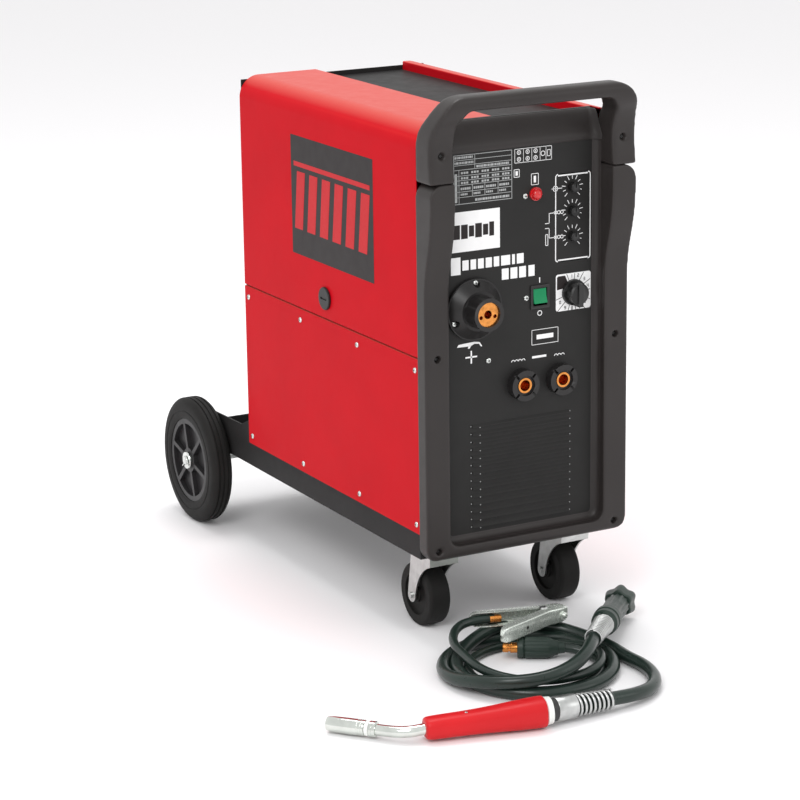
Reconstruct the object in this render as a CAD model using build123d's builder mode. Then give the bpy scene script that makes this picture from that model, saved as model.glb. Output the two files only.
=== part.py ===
"""Wheeled MIG welding machine with its torch lead and its earth lead.

Millimetres, +Z up, the front panel faces -Y. The origin is on the floor under the middle of
the machine's own box. Distances called "from the front" are counted from the front edge of
the covers towards the back, and front_y turns them into the model's y.
"""
from build123d import *
from math import cos, degrees, pi, radians, sin, tan
import os

os.makedirs("parts", exist_ok=True)

# ---- driving dimensions ----------------------------------------------------------------
half_width = 139.0          # covers, outside
sheet = 1.2                 # cover and panel sheet
body_depth = 474.0          # covers, front edge to rear edge
base_bottom = 109.4         # underside of the chassis tray
cover_bottom = 140.5
seam_z = 358.3              # joint between the side door and the lower side panel
cover_top = 635.6
cover_bend = 28.0           # outside radius of the covers' top bends
door_edge_x = -27.5         # inner edge of the door's top
right_edge_x = 103.6        # inner edge of the right cover's top
tray_z = 624.6              # sunk black top plate
handle_top = 674.0
handle_reach = 56.0         # handle bar in front of the covers
wheel_radius = 87.0         # rear wheels, 175 mm class
wheel_width = 31.0
wheel_inner_x = 140.6
axle_back = 607.0           # rear axle, from the front
axle_radius = 8.0
caster_radius = 40.0        # front casters, 80 mm wheels
caster_x = 94.0
caster_back = 44.0          # swivel axis, from the front
caster_trail = 26.0
slip = 0.05                 # radial running clearance of shafts and pins
torch_d = 16.0              # torch lead
earth_d = 11.0              # earth lead

front_y = -(axle_back + wheel_radius - handle_reach) / 2
panel_y = front_y - 3       # outer face of the front panel
rear_y = front_y + body_depth
axle_y = front_y + axle_back
axle_z = wheel_radius


# ---- small helpers ---------------------------------------------------------------------
def cuboid(x, y, z, mode=Mode.ADD):
    """A box between three pairs of limits."""
    with Locations((sum(x) / 2, sum(y) / 2, sum(z) / 2)):
        Box(x[1] - x[0], y[1] - y[0], z[1] - z[0], mode=mode)


def rod(axis, start, radius, length, mode=Mode.ADD, tip_radius=None):
    """A cylinder, or a cone with a tip radius, that starts at a point and runs along +axis."""
    turn = {"X": (0, 90, 0), "Y": (-90, 0, 0), "Z": (0, 0, 0)}[axis]
    with Locations(start):
        if tip_radius is None:
            Cylinder(radius, length, rotation=turn, mode=mode,
                     align=(Align.CENTER, Align.CENTER, Align.MIN))
        else:
            Cone(radius, tip_radius, length, rotation=turn, mode=mode,
                 align=(Align.CENTER, Align.CENTER, Align.MIN))


def from_front(x, back, z):
    """A point whose y is counted from the front edge of the covers."""
    return (x, front_y + back, z)


def save(name, part):
    part.label = name
    export_step(part, f"parts/{name}.step")


def bent_sheet(points, radii, start, depth):
    """A folded sheet: its outer line in XZ, its bend radii, and its run along +Y."""
    with BuildSketch(Plane.XZ.offset(-start)) as section:
        with BuildLine():
            FilletPolyline(*points, radius=radii)
            offset(amount=sheet, side=Side.RIGHT)
        make_face()
    extrude(section.sketch, amount=-depth)


# ---- screws' places, shared by the panels and the screws -------------------------------
side_rows = [343.3, 152.0]
side_columns = [8.0, 155.0, 310.0, 462.0]
right_rows = [600.0, 343.3, 152.0]
panel_screws = [(6.6, 539.4), (7.8, 415.2), (-45.0, 345.0)]
socket_x, socket_z = -65.5, 411.0
flange_screw_radius = 32.5
flange_screws = [(socket_x + flange_screw_radius * cos(radians(a)),
                  socket_z + flange_screw_radius * sin(radians(a))) for a in (90, 205, 335)]
frame_screws = [(side * 124.0, z) for side in (-1, 1) for z in (122.0, 360.0)]
handle_screws = [(side * 124.0, 604.0) for side in (-1, 1)]

# ---- chassis tray with its rear platform -----------------------------------------------
tray_half = half_width - 0.4
tray_sheet = 2.5
platform_end = front_y + 655
with BuildPart() as base_frame:
    cuboid((-tray_half, tray_half), (front_y + 0.5, rear_y), (base_bottom, cover_bottom - 0.3))
    inner = tray_half - tray_sheet
    cuboid((-inner, inner), (front_y + 3, rear_y - 1), (base_bottom + tray_sheet, 200), Mode.SUBTRACT)
    for side in (-1, 1):
        edge = sorted((side * (half_width - sheet - 0.1), side * (inner - 0.2)))
        cuboid(edge, (front_y + 14, rear_y - 12), (base_bottom + 5, cover_bottom + 22))
        with BuildSketch(Plane.YZ.offset(side * (tray_half - tray_sheet / 2))) as cheek:
            with BuildLine():
                FilletPolyline((rear_y - 6, base_bottom), (platform_end, base_bottom),
                               (platform_end, 156), (rear_y + 26, 160), (rear_y + 1, 171),
                               (rear_y + 1, 138),
                               (rear_y - 6, 138), radius=4, close=True)
            make_face()
        extrude(cheek.sketch, amount=tray_sheet / 2, both=True)
        ear = sorted((side * 129.5, side * 135.0))
        cuboid(ear, (axle_y - 20, axle_y + 20), (axle_z - 12, base_bottom + 1))
    cuboid((-tray_half, tray_half), (rear_y - 1, platform_end), (base_bottom, base_bottom + tray_sheet))
    cuboid((-tray_half, tray_half), (platform_end - tray_sheet, platform_end), (base_bottom, 126))
    rod("X", (-140, axle_y, axle_z), axle_radius, 280, Mode.SUBTRACT)
    with Locations(*[from_front(x, b, base_bottom) for x in (-70, 0, 70) for b in (110, 330, 410)]):
        Box(40, 6, 30, mode=Mode.SUBTRACT)
save("base_frame", base_frame.part)

# ---- upright wall and shelf that split the inside --------------------------------------
wall_x = -22.0
shelf_z = 350.0
reel_back, reel_z = 322.0, 490.0
feed_back, wire_z, wire_x = 110.0, socket_z, socket_x
motor_radius = 30.0
roll_radius = 15.0
roll_gap = 0.6
drive_z = wire_z - roll_radius - roll_gap / 2
press_z = wire_z + roll_radius + roll_gap / 2
with BuildPart() as centre_wall:
    cuboid((wall_x, wall_x + 1.5), (front_y + 8, rear_y - 3), (cover_bottom, tray_z - 2))
    cuboid((-half_width + 4, wall_x), (front_y + 8, rear_y - 3), (shelf_z, shelf_z + 1.5))
    rod("X", (wall_x - 4, front_y + feed_back, drive_z), motor_radius + 2, 10, Mode.SUBTRACT)
    with Locations(*[from_front(wall_x, b, z) for b in (200, 420) for z in (200, 230, 260, 290)]):
        Box(8, 70, 8, mode=Mode.SUBTRACT)
save("centre_wall", centre_wall.part)

# ---- rear panel with vents -------------------------------------------------------------
fan_x, fan_z, fan_radius = 56.0, 262.0, 66.0
gland_x, gland_z = -78.0, 300.0
gas_x, gas_z = -78.0, 240.0
with BuildPart() as rear_panel:
    cuboid((-135.9, 135.9), (rear_y + 0.4, rear_y + 1.8), (cover_bottom, tray_z + 6))
    for height in range(5):
        for column in (-82, 82):
            cuboid((column - 30, column + 30), (rear_y - 2, rear_y + 4),
                   (540 + 14 * height, 544 + 14 * height), Mode.SUBTRACT)
    for ring in range(4):
        slot_half = (fan_radius ** 2 - (12 + 14 * ring) ** 2) ** 0.5
        for side in (-1, 1):
            level = fan_z + side * (8 + 14 * ring)
            cuboid((fan_x - slot_half, fan_x + slot_half), (rear_y - 2, rear_y + 4),
                   (level - 3, level + 3), Mode.SUBTRACT)
    rod("Y", (gland_x, rear_y - 2, gland_z), 10, 8, Mode.SUBTRACT)
    rod("Y", (gas_x, rear_y - 2, gas_z), 7, 8, Mode.SUBTRACT)
save("rear_panel", rear_panel.part)

# ---- covers ----------------------------------------------------------------------------
nose = 17.9                 # the covers' tops start behind the sloped top of the front panel
with BuildPart() as right_cover:
    bent_sheet([(right_edge_x, tray_z - 8), (right_edge_x, cover_top), (half_width, cover_top),
                (half_width, cover_bottom)], [1.5, cover_bend], front_y, body_depth)
    cuboid((90, half_width - cover_bend), (front_y - 1, front_y + nose), (600, 640), Mode.SUBTRACT)
    for back in side_columns:
        for height in right_rows:
            rod("X", from_front(half_width - 5, back, height), 2, 10, Mode.SUBTRACT)
save("right_cover", right_cover.part)

with BuildPart() as left_lower_panel:
    bent_sheet([(-half_width, cover_bottom), (-half_width, seam_z - 1), (-half_width + 12, seam_z - 1)],
               [1.5], front_y, body_depth)
    for back in side_columns:
        for height in side_rows:
            rod("X", from_front(-half_width - 5, back, height), 2, 10, Mode.SUBTRACT)
save("left_lower_panel", left_lower_panel.part)

# ---- side door, hinged along the inner edge of its top ---------------------------------
hinge_x, hinge_z = -24.5, 631.0
knuckle_radius = 3.5
pin_radius = 2.0
hinge_backs = [120.0, 350.0]
lock_back, lock_z, lock_radius = 238.0, 385.5, 14.5
with BuildPart() as side_door:
    bent_sheet([(-half_width + 12, seam_z + 0.8), (-half_width, seam_z + 0.8), (-half_width, cover_top),
                (door_edge_x, cover_top)], [1.5, cover_bend], front_y + 0.8, body_depth - 0.8)
    cuboid((-half_width + cover_bend, 0), (front_y - 1, front_y + nose), (600, 640), Mode.SUBTRACT)
    for back in hinge_backs:
        y = front_y + back
        rod("Y", (hinge_x, y - 14, hinge_z), knuckle_radius, 28)
        cuboid((-46, hinge_x), (y - 14, y + 14), (hinge_z + 2.0, hinge_z + 3.5))
    for back in hinge_backs:
        rod("Y", (hinge_x, front_y + back - 15, hinge_z), pin_radius + slip, 30, Mode.SUBTRACT)
    rod("X", from_front(-half_width - 3, lock_back, lock_z), 8.0 + slip, 8, Mode.SUBTRACT)
save("side_door", side_door.part)

with BuildPart() as door_lock:
    rod("X", from_front(-half_width - 3.4, lock_back, lock_z), lock_radius, 3.0)
    rod("X", from_front(-half_width - 0.6, lock_back, lock_z), 8.0, 13.5)
    cuboid((-126.4, -123.4), (front_y + lock_back - 7, front_y + lock_back + 31), (lock_z - 7, lock_z + 7))
    fillet(door_lock.edges().filter_by(GeomType.CIRCLE).sort_by(Axis.X)[0], 1.4)
    cuboid((-half_width - 4, -half_width - 2), (front_y + lock_back - 8, front_y + lock_back + 8),
           (lock_z - 1.3, lock_z + 1.3), Mode.SUBTRACT)
save("door_lock", door_lock.part)

# ---- sunk top plate with the hinge lugs and pins ---------------------------------------
with BuildPart() as top_tray:
    cuboid((-29, right_edge_x - 0.3), (front_y + 18, rear_y), (tray_z - sheet, tray_z))
    cuboid((right_edge_x - 1.5, right_edge_x - 0.3), (front_y + 18, rear_y), (tray_z - 8, tray_z - 0.5))
    cuboid((-19.5, -18.3), (front_y + 18, rear_y), (tray_z - 1, tray_z + 5))
    for back in hinge_backs:
        y = front_y + back
        for start in (y - 24.5, y + 14.5):
            rod("Y", (hinge_x, start, hinge_z), knuckle_radius, 10)
            cuboid((hinge_x - 3, hinge_x + 3), (start, start + 10), (tray_z - 0.5, hinge_z))
        rod("Y", (hinge_x, y - 24.5, hinge_z), pin_radius, 49)
save("top_tray", top_tray.part)

# ---- front panel -----------------------------------------------------------------------
panel_half = 125.0
nose_half = 107.5
slope_start = 608.0
grille_rows = 14
grille_top, grille_pitch, grille_half = 268.0, 9.7, 67.5
switch_x, switch_z = 26.5, 415.0
lamp_x, lamp_z = 20.5, 541.0
knob_x, knob_z = 74.0, 415.0
trim_x, trim_levels = 72.5, [544.0, 515.0, 484.0]
earth_points = [(0.5, 310.0), (54.5, 310.0)]
with BuildPart() as front_panel:
    cuboid((-panel_half, panel_half), (panel_y, panel_y + sheet), (112.0, slope_start))
    with BuildSketch(Plane.YZ) as fascia:
        with BuildLine():
            Polyline((panel_y, slope_start - 1), (panel_y, slope_start), (front_y + 13, cover_top),
                     (front_y + 17.5, cover_top), (front_y + 17.5, cover_top - 12),
                     (front_y + 16.3, cover_top - 12), (front_y + 16.3, cover_top - sheet),
                     (front_y + 13.6, cover_top - sheet), (panel_y + sheet, slope_start - 1), close=True)
        make_face()
    extrude(fascia.sketch, amount=nose_half, both=True)
    for row in range(grille_rows):
        level = grille_top - grille_pitch * row
        cuboid((-grille_half, grille_half), (panel_y - 2, panel_y + 3), (level - 3.4, level - 0.6),
               Mode.SUBTRACT)
        with BuildSketch(Plane.YZ) as louvre:
            with BuildLine():
                Polyline((panel_y + 0.6, level + 1.0), (panel_y, level + 1.0), (panel_y - 2.4, level - 2.0),
                         (panel_y - 2.4, level - 3.2), (panel_y - 1.5, level - 3.2),
                         (panel_y - 1.5, level - 2.2), (panel_y + 0.6, level - 0.2), close=True)
            make_face()
        extrude(louvre.sketch, amount=grille_half + 1, both=True)
    rod("Y", (socket_x, panel_y - 2, socket_z), 21, 6, Mode.SUBTRACT)
    for x, z in earth_points:
        rod("Y", (x, panel_y - 2, z), 12, 6, Mode.SUBTRACT)
    cuboid((switch_x - 11, switch_x + 11), (panel_y - 2, panel_y + 4), (switch_z - 12, switch_z + 12),
           Mode.SUBTRACT)
    rod("Y", (lamp_x, panel_y - 2, lamp_z), 5, 6, Mode.SUBTRACT)
    for x, z in [(knob_x, knob_z)] + [(trim_x, level) for level in trim_levels]:
        rod("Y", (x, panel_y - 2, z), 4, 6, Mode.SUBTRACT)
    for x, z in panel_screws:
        rod("Y", (x, panel_y - 2, z), 2, 6, Mode.SUBTRACT)
save("front_panel", front_panel.part)

# ---- moulded frame round the front panel -----------------------------------------------
frame_half = 141.0
frame_inner = 108.0
rim = 21.0                  # frame's lower front face in front of the covers
bulge = 38.0                # its upper front face
frame_split = 571.0         # where the handle moulding starts
with BuildPart() as front_frame:
    with BuildSketch(Plane.XZ.offset(-front_y)) as face_outline:
        with Locations((0, (base_bottom + frame_split) / 2)):
            Rectangle(2 * frame_half, frame_split - base_bottom)
        fillet(face_outline.vertices().group_by(Axis.Z)[0], 17)
        with BuildLine() as window:
            FilletPolyline((-frame_inner, frame_split), (-frame_inner, 125), (frame_inner, 125),
                           (frame_inner, frame_split), radius=13)
            Line(window.line @ 0, window.line @ 1)
        make_face(mode=Mode.SUBTRACT)
    extrude(amount=60)
    with BuildSketch(Plane.YZ):
        with BuildLine():
            lower_front = Line((front_y, base_bottom), (front_y - rim + 8, base_bottom))
            toe = RadiusArc(lower_front @ 1, (front_y - rim, base_bottom + 8), 8)
            shin = Line(toe @ 1, (front_y - rim, 430))
            swell = Bezier(shin @ 1, (front_y - rim, 480), (front_y - bulge, 490), (front_y - bulge, 545))
            chest = Line(swell @ 1, (front_y - bulge, frame_split))
            Polyline(chest @ 1, (front_y, frame_split), lower_front @ 0)
        make_face()
    extrude(amount=200, both=True, mode=Mode.INTERSECT)
    cuboid((-panel_half, panel_half), (panel_y, front_y + 1), (111.9, 700), Mode.SUBTRACT)
    for x, z in frame_screws:
        rod("Y", (x, front_y - rim - 1, z), 4.2, 9, Mode.SUBTRACT)
save("front_frame", front_frame.part)

# ---- handle moulding: the upper ends of the frame, carried forward into a bar ----------
bar_low = 656.0
with BuildPart() as handle:
    with BuildSketch(Plane.XZ.offset(-front_y)):
        with BuildLine():
            foot = Line((-frame_half, frame_split), (-frame_half, 612))
            crown = Bezier(foot @ 1, (-frame_half, 650), (-126, handle_top), (-100, handle_top))
            half_bar = Line(crown @ 1, (0, handle_top))
            middle = Line(half_bar @ 1, (0, bar_low))
            FilletPolyline(middle @ 1, (-97, bar_low), (-frame_inner, 640), (-frame_inner, frame_split),
                           radius=9)
            Line((-frame_inner, frame_split), foot @ 0)
        make_face()
        mirror(about=Plane.YZ)
    extrude(amount=70)
    with BuildSketch(Plane.YZ):
        with BuildLine():
            front_line = Spline((front_y - bulge, frame_split), (front_y - 35, 606), (front_y - 44, 638),
                                (front_y - handle_reach, 664), tangents=[(0, 1), (-0.1, 1)])
            brow = RadiusArc(front_line @ 1, (front_y - handle_reach + 8, handle_top), 9)
            lid = Line(brow @ 1, (front_y - 34, handle_top))
            back_line = Spline(lid @ 1, (front_y - 24, 662), (front_y - 10, 640), (front_y, 614),
                               tangents=[(1, 0), (0, -1)])
            Polyline(back_line @ 1, (front_y, frame_split), front_line @ 0)
        make_face()
    extrude(amount=200, both=True, mode=Mode.INTERSECT)
    cuboid((-panel_half, panel_half), (panel_y, front_y + 1), (500, slope_start), Mode.SUBTRACT)
    for x, z in handle_screws:
        rod("Y", (x, front_y - 45, z), 4.2, 17, Mode.SUBTRACT)
save("handle", handle.part)

# ---- torch socket and earth sockets: black housings, then their brass ------------------
socket_reach = 38.0         # collar's end in front of the panel
collar_radius, socket_bore = 20.0, 15.0
earth_shell_radius, earth_ring_radius, earth_bore = 19.0, 9.5, 6.7
with BuildPart() as socket_shells:
    rod("Y", (socket_x, panel_y - 5, socket_z), 37.5, 5)
    rod("Y", (socket_x, panel_y - 16, socket_z), 24, 11, tip_radius=36)
    rod("Y", (socket_x, panel_y - socket_reach, socket_z), collar_radius, socket_reach + 18)
    rod("Y", (socket_x, panel_y - socket_reach - 1, socket_z), socket_bore, socket_reach + 30,
        Mode.SUBTRACT)
    for x, z in flange_screws:
        rod("Y", (x, panel_y - 20, z), 4.5, 14.5, Mode.SUBTRACT)
    for x, z in earth_points:
        rod("Y", (x, panel_y - 12, z), earth_shell_radius, 12)
        rod("Y", (x, panel_y - 1, z), 11.5, 16)
        rod("Y", (x, panel_y - 20, z), earth_ring_radius + 3, 11, Mode.SUBTRACT)
        rod("Y", (x, panel_y - 20, z), earth_ring_radius, 50, Mode.SUBTRACT)
        for turn in range(4):
            angle = radians(45 + 90 * turn)
            with Locations(Location((x + 17 * cos(angle), panel_y - 12, z + 17 * sin(angle)),
                                    (0, -degrees(angle), 0))):
                Box(8, 8, 3, mode=Mode.SUBTRACT)
save("socket_shells", socket_shells.part)

with BuildPart() as socket_brass:
    rod("Y", (socket_x, panel_y - 35, socket_z), socket_bore, 60)
    rod("Y", (socket_x, panel_y - 36, socket_z), 5.0, 31, Mode.SUBTRACT)
    for side in (-1, 1):
        rod("Y", (socket_x + side * 9.5, panel_y - 36, socket_z - 3), 2.2, 15, Mode.SUBTRACT)
    for x, z in earth_points:
        rod("Y", (x, panel_y - 10, z), earth_ring_radius, 38)
        rod("Y", (x, panel_y - 11, z), earth_bore, 31, Mode.SUBTRACT)
save("socket_brass", socket_brass.part)

# ---- lamp, switch, knobs and the board behind them -------------------------------------
with BuildPart() as signal_lamp:
    rod("Y", (lamp_x, panel_y - 3, lamp_z), 8, 3)
    with Locations((lamp_x, panel_y - 3, lamp_z)):
        Sphere(7)
    cuboid((lamp_x - 9, lamp_x + 9), (panel_y, panel_y + 9), (lamp_z - 9, lamp_z + 9), Mode.SUBTRACT)
    rod("Y", (lamp_x, panel_y, lamp_z), 4.9, 12)
save("signal_lamp", signal_lamp.part)

rocker_pivot_y = panel_y + 4
with BuildPart() as switch_bezel:
    cuboid((switch_x - 13, switch_x + 13), (panel_y - 2, panel_y), (switch_z - 14.5, switch_z + 14.5))
    cuboid((switch_x - 10.9, switch_x + 10.9), (panel_y - 1, panel_y + 22),
           (switch_z - 11.9, switch_z + 11.9))
    cuboid((switch_x - 9.6, switch_x + 9.6), (panel_y - 3, panel_y + 18), (switch_z - 10.6, switch_z + 10.6),
           Mode.SUBTRACT)
save("switch_bezel", switch_bezel.part)

rocker_tilt = 11.0          # each way from the middle; it rests tilted one way
with BuildPart() as rocker:
    with BuildSketch(Plane.YZ.offset(switch_x)) as rocker_profile:
        with BuildLine():
            Polyline((rocker_pivot_y - 6.6, switch_z + 9.2), (rocker_pivot_y - 5.4, switch_z),
                     (rocker_pivot_y - 6.6, switch_z - 9.2), (rocker_pivot_y + 2, switch_z - 7),
                     (rocker_pivot_y + 5, switch_z), (rocker_pivot_y + 2, switch_z + 7), close=True)
        make_face()
    extrude(rocker_profile.sketch, amount=9.2, both=True)
rocker_axis = Axis((switch_x, rocker_pivot_y, switch_z), (1, 0, 0))
save("rocker", rocker.part.rotate(rocker_axis, -rocker_tilt))

with BuildPart() as selector_knob:
    rod("Y", (knob_x, panel_y - 4.5, knob_z), 16.0, 4)
    rod("Y", (knob_x, panel_y - 17, knob_z), 13.0, 13)
    chamfer(selector_knob.edges().filter_by(GeomType.CIRCLE).sort_by(Axis.Y)[0], 1.5)
    cuboid((knob_x - 3, knob_x + 3), (panel_y - 19, panel_y - 4), (knob_z - 15.5, knob_z + 12.5))
    rod("Y", (knob_x, panel_y - 1, knob_z), 3, 14)
save("selector_knob", selector_knob.part)

trim_names = ["trim_knob_top", "trim_knob_middle", "trim_knob_bottom"]
for name, level in zip(trim_names, trim_levels):
    with BuildPart() as trim_knob:
        rod("Y", (trim_x, panel_y - 9, level), 6, 8.6)
        chamfer(trim_knob.edges().filter_by(GeomType.CIRCLE).sort_by(Axis.Y)[0], 0.8)
        cuboid((trim_x - 0.7, trim_x + 0.7), (panel_y - 10, panel_y - 7.6), (level, level + 7),
               Mode.SUBTRACT)
        rod("Y", (trim_x, panel_y - 1, level), 3, 12)
    save(name, trim_knob.part)

with BuildPart() as control_board:
    cuboid((-16, 122), (front_y + 22, front_y + 23.6), (440, 575))
    for x, z in ((10, 560), (30, 460), (105, 470), (100, 560)):
        cuboid((x - 9, x + 9), (front_y + 23.6, front_y + 42), (z - 8, z + 8))
    for level in trim_levels:
        rod("Y", (trim_x, front_y + 12, level), 8, 10)
        rod("Y", (trim_x, front_y + 11, level), 3 + slip, 10, Mode.SUBTRACT)
save("control_board", control_board.part)

# ---- power part: transformer, choke, rectifier -----------------------------------------
with BuildPart() as transformer_core:
    cuboid((4, 120), (front_y + 150, front_y + 320), (cover_bottom - 28, 290))
    for middle in (195, 275):
        cuboid((0, 124), (front_y + middle - 22, front_y + middle + 22), (155, 250), Mode.SUBTRACT)
save("transformer_core", transformer_core.part)

with BuildPart() as transformer_windings:
    for middle in (195, 275):
        cuboid((-12, 130), (front_y + middle - 21.7, front_y + middle + 21.7), (155.3, 249.7))
    fillet(transformer_windings.edges().filter_by(Axis.Y), 12)
save("transformer_windings", transformer_windings.part)

with BuildPart() as smoothing_choke:
    cuboid((20, 110), (front_y + 345, front_y + 410), (cover_bottom - 28, 180))
    cuboid((14, 116), (front_y + 355, front_y + 400), (125, 168))
save("smoothing_choke", smoothing_choke.part)

with BuildPart() as rectifier:
    cuboid((0, 120), (front_y + 70, front_y + 78), (200, 320))
    for fin in range(9):
        cuboid((2 + 14 * fin, 5 + 14 * fin), (front_y + 78, front_y + 112), (200, 320))
    for x in (25, 60, 95):
        rod("Y", (x, front_y + 52, 260), 13, 18)
    cuboid((-20.5, 0), (front_y + 70, front_y + 78), (230, 250))
save("rectifier", rectifier.part)

# ---- mains gland and gas inlet with its valve ------------------------------------------
with BuildPart() as rear_inlets:
    rod("Y", (gland_x, rear_y + 1.8, gland_z), 14, 9)
    rod("Y", (gland_x, rear_y + 10, gland_z), 11, 16, tip_radius=8)
    rod("Y", (gland_x, rear_y - 14, gland_z), 9.9, 20)
    rod("Y", (gland_x, rear_y - 15, gland_z), 5.5, 50, Mode.SUBTRACT)
    rod("Y", (gas_x, rear_y + 1.8, gas_z), 10, 6)
    rod("Y", (gas_x, rear_y - 6, gas_z), 6.9, 30)
    cuboid((gas_x - 14, gas_x + 14), (rear_y - 40, rear_y - 5), (gas_z - 14, gas_z + 30))
    rod("Y", (gas_x, rear_y + 10, gas_z), 3, 20, Mode.SUBTRACT)
save("rear_inlets", rear_inlets.part)

# ---- fan -------------------------------------------------------------------------------
with BuildPart() as fan_housing:
    cuboid((fan_x - 74, fan_x + 74), (rear_y - 36, rear_y + 0.3), (fan_z - 74, fan_z + 74))
    rod("Y", (fan_x, rear_y - 40, fan_z), fan_radius + 2, 50, Mode.SUBTRACT)
    for side in (-1, 1):
        cuboid(sorted((fan_x + side * 10, fan_x + side * 72)), (rear_y - 8, rear_y - 3),
               (fan_z - 4, fan_z + 4))
    rod("Y", (fan_x, rear_y - 12, fan_z), 22, 10)
    rod("Y", (fan_x, rear_y - 34, fan_z), 3, 24)
save("fan_housing", fan_housing.part)

with BuildPart() as fan_rotor:
    rod("Y", (fan_x, rear_y - 32, fan_z), 20, 18)
    for blade in range(5):
        angle = radians(72 * blade)
        spot = (fan_x + 40 * cos(angle), rear_y - 23, fan_z + 40 * sin(angle))
        with Locations(Location(spot, (0, -degrees(angle), 0))):
            Box(46, 2.5, 26, rotation=(28, 0, 0))
    rod("Y", (fan_x, rear_y - 40, fan_z), 3 + slip, 30, Mode.SUBTRACT)
save("fan_rotor", fan_rotor.part)

# ---- wire feeder -----------------------------------------------------------------------
feed_y = front_y + feed_back
plate_x = wire_x + 14.0     # feeder plate's face behind the rolls
arm_y, arm_z = feed_y + 34, press_z + 12
with BuildPart() as feeder_plate:
    cuboid((plate_x, plate_x + 8), (feed_y - 42, feed_y + 48), (drive_z - 34, press_z + 24))
    for y, z in ((feed_y - 36, drive_z - 28), (feed_y + 42, drive_z - 28), (feed_y - 36, press_z + 18)):
        rod("X", (plate_x + 8, y, z), 4, wall_x - plate_x - 8)
    rod("X", (plate_x - 1, feed_y, drive_z), 7, 12, Mode.SUBTRACT)
    cuboid((plate_x - 1, plate_x + 9), (feed_y - 11, feed_y + 11), (press_z - 12, press_z + 30),
           Mode.SUBTRACT)
    for start, length in ((feed_y - 88, 64), (feed_y + 24, 24)):
        rod("Y", (wire_x, start, wire_z), 4, length)
        rod("Y", (wire_x, start - 1, wire_z), 1.2, length + 2, Mode.SUBTRACT)
    for side in (-1, 1):
        cuboid((wire_x, plate_x + 1), sorted((feed_y + side * 26, feed_y + side * 36)),
               (wire_z - 5.5, wire_z - 3.2))
    rod("X", (wire_x - 9, arm_y, arm_z), 4, plate_x - wire_x + 10)
save("feeder_plate", feeder_plate.part)

with BuildPart() as feed_motor:
    rod("X", (plate_x + 8, feed_y, drive_z), motor_radius, 80)
    fillet(feed_motor.edges().filter_by(GeomType.CIRCLE).sort_by(Axis.X)[-1], 4)
    rod("X", (wire_x - 9, feed_y, drive_z), 5, plate_x - wire_x + 18)
save("feed_motor", feed_motor.part)

with BuildPart() as drive_roll:
    rod("X", (wire_x - 6, feed_y, drive_z), roll_radius, 12)
    rod("X", (wire_x - 10, feed_y, drive_z), 5 + slip, 20, Mode.SUBTRACT)
save("drive_roll", drive_roll.part)

with BuildPart() as pressure_roll:
    rod("X", (wire_x - 6, feed_y, press_z), roll_radius, 12)
    rod("X", (wire_x - 10, feed_y, press_z), 4 + slip, 20, Mode.SUBTRACT)
save("pressure_roll", pressure_roll.part)

with BuildPart() as pressure_arm:
    for x in (wire_x - 9, wire_x + 6.6):
        with BuildSketch(Plane.YZ.offset(x)) as arm_side:
            with BuildLine():
                Polyline((arm_y + 7, arm_z - 6), (arm_y + 7, arm_z + 7), (feed_y - 34, arm_z + 7),
                         (feed_y - 34, arm_z - 1), (feed_y - 8, press_z - 5), (feed_y + 8, press_z - 5),
                         (arm_y - 8, arm_z - 6), close=True)
            make_face()
        extrude(arm_side.sketch, amount=2.4)
    cuboid((wire_x - 9, wire_x + 9), (feed_y - 34, feed_y - 24), (arm_z + 3, arm_z + 7))
    cuboid((wire_x - 9, wire_x + 9), (arm_y - 9, arm_y + 7), (arm_z + 4.6, arm_z + 7))
    rod("X", (wire_x - 9, feed_y, press_z), 4, 18)
    rod("X", (wire_x - 10, arm_y, arm_z), 4 + slip, 20, Mode.SUBTRACT)
    rod("Z", (wire_x, feed_y - 29, arm_z + 6), 2.5, 12)
    rod("Z", (wire_x, feed_y - 29, arm_z + 16), 7, 22)
save("pressure_arm", pressure_arm.part)

# ---- wire reel on its shaft ------------------------------------------------------------
reel_y = front_y + reel_back
reel_radius = 100.0
reel_left, reel_right = -96.0, -41.0
with BuildPart() as spool_hub:
    rod("X", (wall_x - 8, reel_y, reel_z), 30, 8)
    rod("X", (reel_left - 4, reel_y, reel_z), 25, wall_x - reel_left - 2)
    rod("X", (reel_left - 16, reel_y, reel_z), 20, 12)
save("spool_hub", spool_hub.part)

with BuildPart() as wire_reel:
    for x in (reel_left, reel_right - 4):
        rod("X", (x, reel_y, reel_z), reel_radius, 4)
    rod("X", (reel_left, reel_y, reel_z), 84, reel_right - reel_left)
    rod("X", (reel_left - 1, reel_y, reel_z), 25.5, 80, Mode.SUBTRACT)
save("wire_reel", wire_reel.part)

# ---- rear axle and wheels --------------------------------------------------------------
axle_end = wheel_inner_x + wheel_width + 1
hub_radius = 58.0
with BuildPart() as rear_axle:
    rod("X", (-axle_end, axle_y, axle_z), axle_radius, 2 * axle_end)
    for start in (-axle_end - 4, axle_end):
        rod("X", (start, axle_y, axle_z), 12.5, 4)
save("rear_axle", rear_axle.part)

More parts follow.
